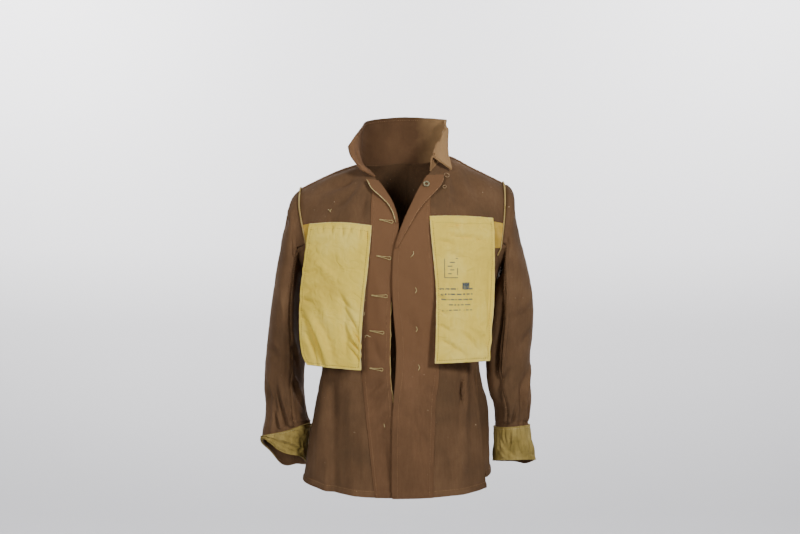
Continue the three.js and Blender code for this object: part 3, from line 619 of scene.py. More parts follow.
def wall_mesh(name: str, cloth: Cloth, low: Amount, high: Amount) -> Piece:
    """A closed wall between two offsets of a cloth: two skins and the rims that join them.

    Args:
        name: The piece's name.
        cloth: The cloth whose places are moved.
        low: How far the inner skin is moved out.
        high: How far the outer skin is moved out.

    Returns:
        The new object.
    """
    rows, columns = cloth.points.shape[:2]
    outer = cloth.moved(high).points.reshape(-1, 3)
    inner = cloth.moved(low).points.reshape(-1, 3)
    count = rows * columns
    skin = grid_quads(rows, columns, cloth.closed)
    faces = [skin, skin[:, ::-1] + count]
    index = np.arange(count).reshape(rows, columns)
    rims = [index[0][::-1], index[-1]]
    if not cloth.closed:
        rims += [index[:, 0], index[::-1, -1]]
    for rim in rims:
        if cloth.closed:
            rim = np.append(rim, rim[0])
        faces.append(np.stack([rim[:-1], rim[1:], rim[1:] + count, rim[:-1] + count], axis=-1))
    points = np.concatenate([outer, inner])
    uv = np.tile(cloth.uv.reshape(-1, 2), (2, 1))
    return put_mesh(name, points, outwards(points, np.concatenate(faces)), uv)


TUBE_GUIDE = np.array([0.31, 0.86, 0.41])  # a direction that no path here follows
BLUNT_END = 0.25  # the share of its radius that a tube keeps at its ends


def tube_mesh(name: str, path: np.ndarray, radius: Amount, sides: int = 8, closed: bool = False) -> Piece:
    """A round wire or cord along a path: rings square to it, its ends drawn to a blunt point.

    Args:
        name: The piece's name.
        path: Places in millimetres.
        radius: The radius, along the path or all the way.
        sides: Faces round it.
        closed: Whether the path joins its own start.

    Returns:
        The new object.
    """
    if closed:
        tangent = np.roll(path, -1, axis=0) - np.roll(path, 1, axis=0)
    else:
        tangent = np.gradient(path, axis=0)
    tangent = unit(tangent)
    first = unit(np.cross(tangent, TUBE_GUIDE))
    second = np.cross(tangent, first)
    turn = (np.arange(sides) / sides * 2 * math.pi)[None, :, None]
    size = np.broadcast_to(radius, len(path)).astype(float).copy()
    if not closed:
        size[[0, -1]] *= BLUNT_END
    ring = first[:, None] * np.cos(turn) + second[:, None] * np.sin(turn)
    points = (path[:, None] + ring * size[:, None, None]).reshape(-1, 3)
    quads = grid_quads(len(path) + closed, sides, True) % len(points)
    if not closed:
        k = np.arange(sides // 2 - 1)
        end = np.stack([k, sides - 1 - k, sides - 2 - k, k + 1], axis=-1)
        quads = np.concatenate([quads, end, end[:, ::-1] + (len(path) - 1) * sides])
    return put_mesh(name, points, outwards(points, quads))


def linear(hex_colour: str) -> tuple[float, float, float, float]:
    """An sRGB hex colour as linear red, green, blue and alpha."""
    parts = [int(hex_colour[i : i + 2], 16) / 255 for i in (1, 3, 5)]
    parts = [c / 12.92 if c <= 0.04045 else ((c + 0.055) / 1.055) ** 2.4 for c in parts]
    return (*parts, 1.0)


class Shader:
    """A material's node tree, with one way to add a node."""

    def __init__(self, name: str) -> None:
        """Starts an empty material with that name."""
        self.material = bpy.data.materials.new(name)
        self.material.use_nodes = True
        self.tree = self.material.node_tree
        self.tree.nodes.clear()

    def add(self, kind: str, settings: dict | None = None, **links: object) -> Node:
        """Adds a node with its settings and its inputs.

        Args:
            kind: The node's type, without ShaderNode.
            settings: Its properties.
            **links: Values or output sockets by input name, with _ for a space, or inN for input N.

        Returns:
            The new node.
        """
        node = self.tree.nodes.new("ShaderNode" + kind)
        for key, value in (settings or {}).items():
            setattr(node, key, value)
        for key, value in links.items():
            numbered = key[:2] == "in" and key[2:].isdigit()
            socket = node.inputs[int(key[2:]) if numbered else key.replace("_", " ")]
            if isinstance(value, Socket):
                self.tree.links.new(value, socket)
            else:
                socket.default_value = value
        return node

    def blend(self, share: Socket, first: Socket, second: str) -> Socket:
        """A colour mixed with a hex colour by a share from 0 to 1."""
        mixer = self.add("Mix", {"data_type": "RGBA"}, in0=share, in6=first, in7=linear(second))
        return mixer.outputs[2]

    def sum_of(self, value: Socket, times: float, rest: Socket) -> Socket:
        """A value times a number, added to another value."""
        return self.add("Math", {"operation": "MULTIPLY_ADD"}, in0=value, in1=times, in2=rest).outputs[0]

    def ramp(self, value: Socket, stops: Sequence[tuple[float, str]]) -> Socket:
        """A colour ramp through hex colours at places from 0 to 1."""
        node = self.add("ValToRGB", in0=value)
        elements = node.color_ramp.elements
        while len(elements) < len(stops):
            elements.new(0.5)
        for element, (place, colour) in zip(elements, stops):
            element.position, element.color = place, linear(colour)
        return node.outputs[0]


@dataclass(frozen=True)
class WovenFinish:
    """A woven cloth: brushed wool serge, cotton drill or tape.

    The colours run from its deep shade to its worn highs. rib_mm is the twill's spacing, drawn
    about twice as coarse as the real one so that it shows, and mottle_mm the size of the cloudy
    fading. fuzz is the strength of the nap, lint_share the share of pale flecks, and crumple the
    strength of small sharp creases about crumple_mm apart.
    """

    name: str
    deep: str
    base: str
    worn: str
    rib_mm: float
    mottle_mm: float
    fuzz: float
    sheen: float
    lint: str = "#A98F70"
    lint_share: float = 0.0
    crumple: float = 0.0
    crumple_mm: float = 26.0

    def colour(self, s: Shader, solid: Socket, nap: Socket) -> Socket:
        """The colour: slow clouds of wear, a finer grain and a fleck here and there."""
        cloud = s.add("TexNoise", Vector=solid, Scale=1000 / self.mottle_mm, Detail=3.0, Roughness=0.5)
        streak = s.add("Mapping", Vector=solid, Scale=(1.0, 1.0, 0.16))
        slub = s.add("TexNoise", Vector=streak.outputs[0], Scale=1000 / 4.5, Detail=2.0, Roughness=0.6)
        both = s.sum_of(slub.outputs[0], 0.3, s.sum_of(nap, 0.5 * self.fuzz, cloud.outputs[0]))
        middle = 0.5 + 0.25 * self.fuzz + 0.15
        level = s.add("MapRange", Value=both, From_Min=middle - 0.30, From_Max=middle + 0.30)
        colour = s.ramp(level.outputs[0], [(0.0, self.deep), (0.5, self.base), (1.0, self.worn)])
        if self.lint_share > 0:
            fleck = s.add("TexNoise", Vector=solid, Scale=1000 / 5.0, Detail=1.0, Roughness=0.4)
            low = 0.80 - self.lint_share
            shown = s.add("MapRange", Value=fleck.outputs[0], From_Min=low, From_Max=low + 0.04)
            colour = s.blend(shown.outputs[0], colour, self.lint)
        return colour

    def crumpled(self, s: Shader, solid: Socket, below: Socket) -> Node:
        """The small sharp creases of washed cotton, as a bump over the one below."""
        scale = 1000 / self.crumple_mm
        field_noise = s.add("TexNoise", Vector=solid, Scale=scale, Detail=2.0, Distortion=0.5)
        middle = s.add("Math", {"operation": "SUBTRACT"}, in0=field_noise.outputs[0], in1=0.5)
        side = s.add("Math", {"operation": "ABSOLUTE"}, in0=middle.outputs[0])
        ridge = s.add("MapRange", Value=side.outputs[0], From_Max=0.10)
        height = ridge.outputs[0]
        return s.add("Bump", Height=height, Strength=self.crumple, Distance=1.6 * MM, Normal=below)

    def build(self) -> Material:
        """Makes the material: twill ribs and nap in the bump, clouds and flecks in the colour."""
        s = Shader(self.name)
        place = s.add("UVMap", {"uv_map": "cloth"}).outputs[0]
        solid = s.add("TexCoord").outputs["Object"]
        nap = s.add("TexNoise", Vector=solid, Scale=1000 / 1.6, Detail=3.0, Roughness=0.7)
        grain = s.add("TexNoise", Vector=solid, Scale=1000 / 9.0, Detail=3.0, Roughness=0.55)
        slant = s.add("Mapping", Vector=place, Rotation=(0.0, 0.0, math.radians(58)))
        twill = s.add(
            "TexWave",
            {"wave_type": "BANDS", "bands_direction": "X", "wave_profile": "SIN"},
            Vector=slant.outputs[0],
            Scale=1000 / self.rib_mm / 20,
            Distortion=1.0,
            Detail=2.0,
            Detail_Scale=2.0,
        )
        bump = s.add("Bump", Height=twill.outputs[1], Strength=0.45 - 0.35 * self.fuzz, Distance=0.0005)
        for texture, strength, depth in ((nap, 0.45 * self.fuzz, 0.0006), (grain, 0.25, 0.0012)):
            height, below = texture.outputs[0], bump.outputs[0]
            bump = s.add("Bump", Height=height, Strength=strength, Distance=depth, Normal=below)
        if self.crumple > 0:
            bump = self.crumpled(s, solid, bump.outputs[0])
        shader = s.add(
            "BsdfPrincipled",
            Base_Color=self.colour(s, solid, nap.outputs[0]),
            Roughness=0.9,
            Specular_IOR_Level=0.2,
            Sheen_Weight=self.sheen,
            Sheen_Roughness=0.5,
            Sheen_Tint=linear(self.worn),
            Normal=bump.outputs[0],
        )
        s.add("OutputMaterial", Surface=shader.outputs[0])
        return s.material


@dataclass(frozen=True)
class PaintedLightFinish(WovenFinish):
    """A woven cloth painted lighter towards one side or end, from one place to another in mm: painted
    light, for the light that falls more strongly there.

    nape is painted shade towards the nape of a collar, for the shadow that the head casts there.
    """

    painted_light: str = "#A5835A"
    axis: str = "X"
    light_from: float = 45.0
    light_to: float = 105.0
    nape: str = ""
    nape_shadow_from: float = -48.0
    nape_shadow_to: float = 12.0

    def colour(self, s: Shader, solid: Socket, nap: Socket) -> Socket:
        """The plain cloth's colour, with the painted nape shade, mixed with the painted light colour
        towards that side.
        """
        plain = super().colour(s, solid, nap)
        apart = s.add("SeparateXYZ", Vector=solid)
        # Painted shade: darker towards the nape, where the head would shadow the collar.
        if self.nape:
            start, end = self.nape_shadow_from * MM, self.nape_shadow_to * MM
            back = s.add("MapRange", Value=apart.outputs["Y"], From_Min=start, From_Max=end, To_Max=0.7)
            plain = s.blend(back.outputs[0], plain, self.nape)
        # Painted light: lighter towards one side or end, its edge made uneven by a cloud.
        along = apart.outputs[self.axis]
        cloud = s.add("TexNoise", Vector=solid, Scale=1000 / 30, Detail=2.0)
        uneven = s.sum_of(cloud.outputs[0], 0.03, along)
        start, end = self.light_from * MM, self.light_to * MM
        share = s.add("MapRange", Value=uneven, From_Min=start, From_Max=end, To_Max=0.85)
        return s.blend(share.outputs[0], plain, self.painted_light)


# Brushed wool serge: matt, dark brown, with a dull bloom where the nap catches the light.
WOOL_FINISH = WovenFinish(
    "brushed_wool_serge", "#54402C", "#644A33", "#73573D", 2.2, 70, 0.8, 0.05, lint_share=0.014,
)
# The facings are the same serge, painted lighter and a little redder over the chest: a painted pool of
# light there.
FACING_FINISH = PaintedLightFinish(
    "wool_facing_serge", "#5A412C", "#6A4D35", "#7A593F", 2.2, 80, 0.8, 0.05, lint_share=0.006,
    painted_light="#755439", axis="Z", light_from=-390.0, light_to=-270.0,
)
# The collar is painted tan towards the wearer's left end, a painted highlight where its turned-over end
# faces the key light, and darker towards the nape, a painted shadow of the head.
COLLAR_FINISH = PaintedLightFinish(
    "wool_collar_painted_light", "#664A33", "#78573C", "#8A6748", 2.2, 40, 0.8, 0.06,
    light_from=42.0, light_to=84.0, nape="#46311F",
)
# Washed cotton drill: yellow, slightly shiny on the ribs, with soft clouds of wear.
BAG_FINISH = WovenFinish(
    "washed_cotton_drill", "#DABB4B", "#E8CB53", "#F1D86C", 1.6, 60, 0.3, 0.02, crumple=0.45,
)
# The stays are of the same drill, less washed, and painted darker: partly their own older colour, partly
# painted shade where they lie between the bag and the armhole.
STAY_FINISH = WovenFinish("cotton_drill_stay", "#AC8A34", "#C6A144", "#D9B659", 1.6, 20, 0.3, 0.02)
# The facings of the sleeve ends are a greener cotton.
CUFF_FINISH = WovenFinish(
    "olive_cotton_drill", "#74642E", "#968146", "#AE985A", 1.6, 34, 0.4, 0.03,
    crumple=0.35, crumple_mm=18.0,
)
# Cotton tape over the raw seam edges.
TAPE_FINISH = WovenFinish("tan_cotton_tape", "#927A45", "#B79C62", "#CFB782", 1.2, 22, 0.4, 0.03)


@dataclass(frozen=True)
class PlainFinish:
    """A small hard or threadlike thing: moulded ring, bound wire or sewing thread."""

    name: str
    dark: str
    light: str
    roughness: float
    grain_mm: float

    def build(self) -> Material:
        """Makes the material: a fine grain in the colour and the bump."""
        s = Shader(self.name)
        solid = s.add("TexCoord").outputs["Object"]
        grain = s.add("TexNoise", Vector=solid, Scale=1000 / self.grain_mm, Detail=2.0)
        level = s.add("MapRange", Value=grain.outputs[0], From_Min=0.35, From_Max=0.65)
        colour = s.ramp(level.outputs[0], [(0.0, self.dark), (1.0, self.light)])
        bump = s.add("Bump", Height=grain.outputs[0], Strength=0.3, Distance=0.0003)
        normal = bump.outputs[0]
        shader = s.add("BsdfPrincipled", Base_Color=colour, Roughness=self.roughness, Normal=normal)
        s.add("OutputMaterial", Surface=shader.outputs[0])
        return s.material


# Drab moulded button stock: half matt, brown green.
RING_FINISH = PlainFinish("drab_moulded_ring", "#6B6346", "#A39B78", 0.45, 3.0)
# Thread bound wire of the hook and eye.
WIRE_FINISH = PlainFinish("thread_bound_wire", "#6E5238", "#A0835D", 0.7, 1.5)
# Waxed linen thread, cream to yellow: buttonholes and the stitching of the cotton.
PALE_THREAD = PlainFinish("cream_linen_thread", "#B39B5E", "#D9C78F", 0.75, 2.0)
# The pocket bags' folded edges, rubbed almost white.
EDGE_FINISH = PlainFinish("rubbed_cotton_edge", "#CDB674", "#EBDDA9", 0.85, 6.0)
# Olive-tan linen thread of the buttonholes.
BUTTONHOLE_THREAD = PlainFinish("tan_linen_thread", "#9C8750", "#CAB57C", 0.8, 1.6)
# Ochre cotton thread of the pocket bags' edges, painted dark: painted shade of the groove that it sinks
# into.
OCHRE_THREAD = PlainFinish("ochre_cotton_thread", "#6F5524", "#9C7C38", 0.8, 2.5)
# Faded marking ink on the cotton: plain dashes, blocks and a frame, with no lettering.
INK_FINISH = PlainFinish("faded_marking_ink", "#3D4A55", "#7C7A5C", 0.9, 3.5)
# Brown cotton thread of the wool seams, a little lighter than the cloth.
BROWN_THREAD = PlainFinish("brown_cotton_thread", "#6A4A30", "#A27B52", 0.8, 2.5)


class Wardrobe:
    """The finishes, each made once, and the last steps that every piece goes through."""

    def __init__(self) -> None:
        """Starts with no materials made."""
        self.made: dict[str, Material] = {}

    def dress(self, piece: Piece, finish: WovenFinish | PlainFinish, slot: str, *nodes: str) -> Piece:
        """Gives a piece its finish and its body, and hides the solids that it stands for.

        Args:
            piece: The piece.
            finish: What it is made of.
            slot: The record's material slot; not used.
            *nodes: The solids that it replaces.

        Returns:
            The piece.
        """
        if finish.name not in self.made:
            self.made[finish.name] = finish.build()
        piece.data.materials.append(self.made[finish.name])
        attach(piece, ROOT)
        if nodes:
            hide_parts(*nodes)
        LOG.info("%s: %d faces", piece.name, len(piece.data.polygons))
        return piece

    @staticmethod
    def declare(piece: Piece, cloth: Cloth, rests_on: Sequence[str]) -> None:
        """Takes a piece, its cloth and what it rests on, and does nothing with them."""


WARDROBE = Wardrobe()

STITCH, STITCH_GAP = 2.6, 1.5  # the length of a machine stitch and the space before the next one
# A stitch: ten points, in halves of its length, width and height, and eight faces between them.
LOZENGE = np.array([
    [-1, -0.5, 0], [-1, 0.5, 0], [0, 1, 0], [1, 0.5, 0], [1, -0.5, 0],
    [0, -1, 0], [-0.6, 0, 1], [0.6, 0, 1], [-0.6, 0, -1], [0.6, 0, -1],
])
LOZENGE_FACES = np.array([
    [1, 2, 7, 6], [2, 3, 4, 7], [0, 1, 6, 5], [5, 6, 7, 4],
    [2, 1, 8, 9], [3, 2, 9, 4], [1, 0, 5, 8], [8, 5, 4, 9],
])


def stitch_row(
    name: str, path: np.ndarray, normals: np.ndarray, finish: PlainFinish, slot: str, thick: float = 0.38
) -> Piece:
    """A row of machine stitches: small lozenges laid end to end along a line on the cloth.

    Args:
        name: The row's name.
        path: The line, on the cloth's outer face.
        normals: The directions out of the cloth along it.
        finish: The thread.
        slot: The record's material slot; not used.
        thick: Half the thickness of the thread.

    Returns:
        The row as one piece.
    """
    run = run_along(path)
    count = max(1, int(run[-1] / (STITCH + STITCH_GAP)))
    middle = (np.arange(count) + 0.5) * (STITCH + STITCH_GAP)
    centre, up = read_line(path, run, middle), unit(read_line(normals, run, middle))
    along = unit(read_line(path, run, middle + STITCH / 2) - read_line(path, run, middle - STITCH / 2))
    across = np.cross(along, up)
    template = LOZENGE * [STITCH / 2, thick, thick * 0.8]
    points = (
        centre[:, None]
        + template[None, :, :1] * along[:, None]
        + template[None, :, 1:2] * across[:, None]
        + (template[None, :, 2:] + thick * 0.35) * up[:, None]
    )
    quads = (np.arange(count)[:, None, None] * len(LOZENGE) + LOZENGE_FACES[None]).reshape(-1, 4)
    return WARDROBE.dress(put_mesh(name, points.reshape(-1, 3), quads), finish, slot)


@dataclass
class Spot:
    """Finds places on a cloth that faces the front, from where they are seen."""

    cloth: Cloth

    def find(self, x: np.ndarray, z: np.ndarray, lift: float) -> tuple[np.ndarray, np.ndarray]:
        """The places with those x and z: the nearest grid point, slid along its own plane.

        Args:
            x: Places across.
            z: Places up.
            lift: How far off the cloth.

        Returns:
            The places and the directions out of the cloth there.
        """
        points = self.cloth.points.reshape(-1, 3)
        normals = self.cloth.normals.reshape(-1, 3)
        seen = normals[:, 1] < -0.15
        points, normals = points[seen], normals[seen]
        x, z = np.atleast_1d(x).astype(float), np.atleast_1d(z).astype(float)
        distance = (points[None, :, 0] - x[:, None]) ** 2 + (points[None, :, 2] - z[:, None]) ** 2
        nearest = distance.argmin(axis=1)
        base, out = points[nearest], normals[nearest]
        slide = out[:, 0] * (x - base[:, 0]) + out[:, 2] * (z - base[:, 2])
        slide = slide / np.minimum(out[:, 1], -0.2)
        place = np.stack([x, base[:, 1] - slide, z], axis=-1)
        return place + out * lift, out


# Smaller creases of each face, given one by one. The hidden sides have like ones.
FRONT_CREASES = creases(
    (-72, -16, -138, -50, 7.5, -2.8, 4), (-76, -12, -146, -36, 7, 2.0, 3),
    (-70, -26, -116, -78, 7, -2.6, 5), (-66, -38, -92, -96, 8, 1.8, -3),
    (-64, -44, -76, -104, 6, -1.6, 2), (-120, -60, -150, -98, 9, -1.5, 4),
    (-36, -372, -56, -398, 6, -2.2, 4), (-24, -380, -52, -410, 5, 1.6, -3),
    (-30, -400, -60, -436, 6, -1.8, 3), (-24, -428, -44, -472, 7, -2.4, 3),
    (-32, -470, -30, -560, 8, -2.6, 2), (-88, -380, -96, -470, 9, 1.6, 3),
    (-142, -372, -154, -560, 7, 2.2, 4), (-70, -450, -66, -560, 9, 1.5, 2),
    (36, -386, 58, -420, 8, -1.6, 4), (22, -400, 64, -452, 9, 1.4, -5),
    (12, -440, 38, -500, 8, -1.5, 4), (70, -470, 92, -560, 10, -1.8, 4),
    (96, -500, 100, -572, 8, 1.8, 2), (106, -376, 103, -424, 2.2, -3.0, -1),
    (107, -340, 112, -440, 6, 1.8, 2), (120, -420, 132, -540, 9, -2.0, -3),
    (84, -20, 104, -80, 6, -2.2, 3), (78, -26, 90, -96, 5, 1.8, -2), (110, -24, 140, -70, 10, -1.6, 4),
    (20, -150, 34, -240, 9, 1.2, 3), (6, -260, 26, -330, 8, -1.4, 4),
    (-46, -190, -34, -280, 8, 1.2, 3), (-50, -300, -34, -350, 7, -1.3, -3),
)
BACK_CREASES = creases(
    (-60, -20, -120, -110, 10, -2.6, 6), (66, -20, 126, -104, 10, -2.4, -6),
    (-40, -40, -64, -150, 12, 1.8, 5), (46, -36, 70, -160, 12, 1.8, -6),
    (-150, -180, -96, -250, 9, -2.8, 6), (150, -184, 102, -262, 9, -2.6, -6),
    (-128, -300, -60, -340, 8, -2.4, 6), (124, -306, 54, -350, 8, -2.6, -7),
    (-110, -352, -40, -372, 7, 2.0, -4), (112, -356, 44, -384, 7, 2.0, 4),
    (-96, -400, -108, -540, 12, -3.2, 6), (24, -410, 30, -548, 12, -3.4, -5),
    (-30, -430, -28, -552, 12, 2.6, 5), (92, -420, 104, -550, 10, 3.0, -5),
    (132, -400, 146, -540, 9, -2.4, 4), (-140, -420, -158, -548, 9, -2.2, -4),
)

# Rows of a body panel: the step below the underarm, the step beside the armhole, the rows above
LOWER_STEP, ARM_STEP, OVER_ROWS = 3.4, 3.0, 34


def panel_heights(hem: float) -> np.ndarray:
    """Heights of the rows of a body panel, from the hem up over the shoulder."""
    low = np.linspace(hem, UNDERARM, int((UNDERARM - hem) / LOWER_STEP) + 1)
    arm = np.linspace(UNDERARM, TURN_OVER, int((TURN_OVER - UNDERARM) / ARM_STEP) + 1)[1:]
    over = np.linspace(0, 1, OVER_ROWS)[1:]
    return np.concatenate([low - TURN_OVER, arm - TURN_OVER, over])


def first_row(heights: np.ndarray, level: float) -> int:
    """The first row at or above a level."""
    return int(np.argmax(climb_at(heights)[2] >= level - 0.01))


def hem_relief(points: np.ndarray) -> np.ndarray:
    """The turned hem: twice the cloth up to 10 mm above the edge, with a groove at its stitches."""
    way = run_along(points)
    return 1.7 * (1 - ramp(way, 9, 12)) - 1.3 * bell(way - 10.5, 1.8)


def seam_relief(points: np.ndarray, column: int, width: float, height: float) -> np.ndarray:
    """A pressed seam allowance: a low flat step along one column's edge of the cloth."""
    way = run_along(points, 1)
    if column < 0:
        way = way[:, -1:] - way
    return height * (1 - ramp(way, width - 1.2, width + 1.2)) * ramp(way, 0.3, 2.4)


def side_allowance(points: np.ndarray, column: int, level: np.ndarray) -> np.ndarray:
    """The allowance of a side seam, below the armhole."""
    return seam_relief(points, column, ALLOWANCE, 0.7) * (level < UNDERARM)


def calm_places(edge: np.ndarray, steps: int, level: np.ndarray) -> np.ndarray:
    """Where relief may stand: it fades towards the armhole and the neckline, where others are sewn on."""
    near_arm = ramp(edge, 0, steps) + (level < UNDERARM - 30)
    return np.clip(near_arm, 0, 1) * (1 - ramp(level, SHOULDER_TIP - 8, SHOULDER_TIP - 1))


def turns_between(spans: Sequence[tuple[np.ndarray, np.ndarray, int]]) -> np.ndarray:
    """Columns of turns: the first line, then steps from each span's start to its end."""
    columns = [spans[0][0][:, None]]
    for start, end, steps in spans:
        share = np.arange(1, steps + 1) / steps
        columns.append(start[:, None] + (end - start)[:, None] * share)
    return np.concatenate(columns, axis=1)


def bound_turn(edge: np.ndarray, next_line: np.ndarray, width: np.ndarray) -> np.ndarray:
    """The turns where the armhole's binding ends, on the way from the edge to the next line."""
    return edge + (next_line - edge) * BINDING_WIDTH / width


# How wide a turned-out front edge is and how far it lifts, by how far over the shoulder it lies.
LAPEL_SIZES = {
    Side.RIGHT: Table("over wide lift", (0.14, 3, 1), (0.28, 8, 3), (0.42, 22, 6), (0.56, 19, 5)),
    Side.LEFT: Table(
        "over wide lift", (0.0, 4, 1.5), (0.14, 13, 3), (0.28, 20, 4), (0.42, 35, 6), (0.56, 24, 5)
    ),
}


@dataclass
class FrontPanel:
    """One front with its facing, lapel, stay, seam allowance and armhole binding."""

    side: Side
    edge_steps: int = 2
    side_steps: int = 16
    bag_steps: int = 40
    facing_steps: int = 18
    hem_lift: float = 12.0
    lift_height: float = 170.0
    lap_from: float = 2 / 7
    strength: float = 1.5
    cloth: Cloth = field(init=False)
    heights: np.ndarray = field(init=False)

    def __post_init__(self) -> None:
        """Works out the front's cloth once, for all that lies on it."""
        self.heights = panel_heights(FRONT_HEM)
        level = climb_at(self.heights)[2]
        lines = FRONT_LINES[self.side].read("level", level)
        edge = edge_turn(self.side, self.heights, False)
        bag, facing, free = (turn_at(lines[name], self.heights) for name in ("bag", "facing", "edge"))
        width = np.linalg.norm(body_point(edge, self.heights) - body_point(bag, self.heights), axis=-1)
        bound = bound_turn(edge, bag, width)
        turns = turns_between((
            (edge, bound, self.edge_steps),
            (bound, bag, self.side_steps),
            (bag, facing, self.bag_steps),
            (facing, free, self.facing_steps),
        ))
        points = body_point(turns, np.broadcast_to(self.heights[:, None], turns.shape))
        normals = body_normals(points)
        column = np.arange(turns.shape[1])
        if self.side is Side.LEFT:
            start = self.bag_column + self.bag_steps * self.lap_from
            lap = FRONT_LAP * ramp(column, start, turns.shape[1] - 1)
            points = points + normals * lap[None, :, None]
        else:
            towards_side = 1 - ramp(column, 0, self.facing_column)
            near_hem = 1 - ramp(level, FRONT_HEM, FRONT_HEM + self.lift_height)
            points[..., 2] += self.hem_lift * near_hem[:, None] * towards_side[None, :]
        x, z = points[..., 0], points[..., 2]
        own = [crease for crease in FRONT_CREASES if crease.x0 * self.side.sign > 0 or abs(crease.x0) < 30]
        relief = self.strength * relief_of(own, x, z)
        relief = relief + ripple(x, z, 0.7, 11 if self.side is Side.RIGHT else 12)
        relief = relief * calm_places(column[None, :], 12, level[:, None])
        relief = relief + side_allowance(points, 0, level[:, None]) + hem_relief(points)
        points = points + normals * relief[..., None]
        self.cloth = Cloth(points, body_normals(points))

    @property
    def bag_column(self) -> int:
        """The column where the pocket bag's outer edge lies."""
        return self.edge_steps + self.side_steps

    @property
    def facing_column(self) -> int:
        """The column where the facing begins."""
        return self.bag_column + self.bag_steps

    def build(self) -> None:
        """Makes the front and everything sewn flat on it."""
        name = self.side.value
        panel = self.cloth.seamed("first top")
        piece = wall_mesh(f"front_panel_{name}", panel, -WOOL, 0)
        WARDROBE.dress(piece, WOOL_FINISH, "wool", f"front_{name}")
        WARDROBE.declare(piece, panel, [f"back_panel_{name}"])
        self.build_facing()
        self.build_stay()
        self.build_shoulder_seam()
        self.build_side_fold()
        self.build_binding()
        self.build_lapel()
        hem = first_row(self.heights, FRONT_HEM + HEM_STITCHES)
        self.stitch(f"hem_stitches_{name}", np.s_[hem, :], 0.0, BROWN_THREAD, "wool")

    def stitch(self, name: str, where: tuple, lift: float, thread: PlainFinish, slot: str) -> None:
        """Sews a row of stitches along a row or column of the front."""
        stitch_row(name, *self.cloth.moved(lift).line(where), thread, slot)

    def build_facing(self) -> None:
        """The facing: a strip from its outer seam to the free edge, up to under the lapel."""
        name = self.side.value
        over = np.linspace(0, 1, OVER_ROWS)
        top = first_row(self.heights, TURN_OVER) + int(np.argmax(over >= FACING_OVER))
        rows, columns = slice(0, top + 1), slice(self.facing_column, None)
        strip = self.cloth.part(rows, columns)
        edge = np.linspace(0, 1, strip.points.shape[1])[None, :]
        puff = 0.35 * np.sin(math.pi * np.clip(edge * 6, 0, 1))
        puff = puff + 0.3 * np.sin(math.pi * np.clip((1 - edge) * 6, 0, 1))
        piece = wall_mesh(f"facing_strip_{name}", strip, LAY, LAY + COTTON + puff)
        WARDROBE.dress(piece, FACING_FINISH, "facing", f"front_facing_{name}")
        WARDROBE.declare(piece, strip, [f"front_panel_{name}"])
        cord = tube_mesh(f"facing_fold_{name}", strip.moved(LAY + 0.6).points[:, 0], 0.9, 8)
        WARDROBE.dress(cord, FACING_FINISH, "facing")
        turned = self.cloth.moved((LAY + COTTON - WOOL) / 2).points[:top, -1]
        WARDROBE.dress(tube_mesh(f"front_edge_fold_{name}", turned[2:], 1.5, 10), FACING_FINISH, "facing")
        for row_name, column in (("front_edge_stitches", -3), ("facing_stitches", self.facing_column + 2)):
            lift = LAY + COTTON + 0.3
            self.stitch(f"{row_name}_{name}", (rows, column), lift, BROWN_THREAD, "facing")

    def build_stay(self) -> None:
        """The small cotton stay between the pocket bag and the armhole."""
        name = self.side.value
        rows = slice(first_row(self.heights, STAY_BOTTOM), first_row(self.heights, STAY_TOP) + 1)
        columns = slice(self.edge_steps, self.bag_column + 1)
        strip = self.cloth.part(rows, columns).seamed("first last", 2.2)
        share = np.linspace(0, 1, strip.points.shape[0])[:, None]
        wrinkle = 0.5 * np.sin(share * 19 + strip.uv[..., 0] * 0.35) * np.sin(math.pi * share)
        piece = wall_mesh(f"cotton_stay_{name}", strip, LAY, LAY + COTTON + 0.2 * wrinkle)
        WARDROBE.dress(piece, STAY_FINISH, "bag_cotton", f"pocket_stay_{name}")
        WARDROBE.declare(piece, strip, [f"front_panel_{name}"])

    def build_shoulder_seam(self) -> None:
        """The seam allowance that stands along the shoulder, with its fraying edge."""
        name = self.side.value
        top = len(self.heights)
        low = first_row(self.heights, SHOULDER_TIP - 1.4) - 1
        strip = self.cloth.part(slice(low, top), slice(self.edge_steps, self.facing_column + 1))
        strip = strip.seamed("first", 2.2).seamed("top")
        across = np.linspace(0, 1, strip.points.shape[0])[:, None]
        ragged = 0.25 * np.sin(strip.uv[..., 0] * 1.7) * np.sin(strip.uv[..., 0] * 0.61)
        height = SEAM_RIDGE * (0.55 + 0.45 * np.sin(math.pi * np.clip(across * 1.2, 0, 1))) + ragged
        piece = wall_mesh(f"shoulder_allowance_{name}", strip, LAY, LAY + height)
        WARDROBE.dress(piece, FACING_FINISH, "wool", f"shoulder_seam_{name}")

    def build_side_fold(self) -> None:
        """The rolled fold of cloth in the side seam, between the front and the back."""
        rows = climb_at(self.heights)[2] < UNDERARM
        path = self.cloth.points[rows, 0] - self.cloth.normals[rows, 0] * WOOL / 2
        fold = tube_mesh(f"side_seam_fold_{self.side.value}", path[2:], 0.9, 6)
        WARDROBE.dress(fold, WOOL_FINISH, "wool")

    def build_binding(self) -> None:
        """The bound edge along the front of the armhole: a low round rib."""
        rows = slice(first_row(self.heights, BINDING_BOTTOM), None)
        strip = self.cloth.part(rows, slice(0, self.edge_steps + 1))
        build_binding(f"{self.side.value}_front", strip)

    def from_free_edge(self, rows: np.ndarray, ways: np.ndarray) -> tuple[np.ndarray, np.ndarray]:
        """Places that lie given ways from the free edge, along each row.

        Args:
            rows: The rows.
            ways: For each row, the ways, in millimetres.

        Returns:
            The places and the directions out of the cloth.
        """
        points = self.cloth.points[rows][:, ::-1]
        normals = self.cloth.normals[rows][:, ::-1]
        runs = run_along(points, 1)
        at = np.stack([np.interp(way, run, np.arange(len(run))) for way, run in zip(ways, runs)])
        low = np.clip(at.astype(int), 0, points.shape[1] - 2)
        share = (at - low)[..., None]
        line = np.arange(len(rows))[:, None]
        place = points[line, low] * (1 - share) + points[line, low + 1] * share
        return place, unit(normals[line, low] * (1 - share) + normals[line, low + 1] * share)

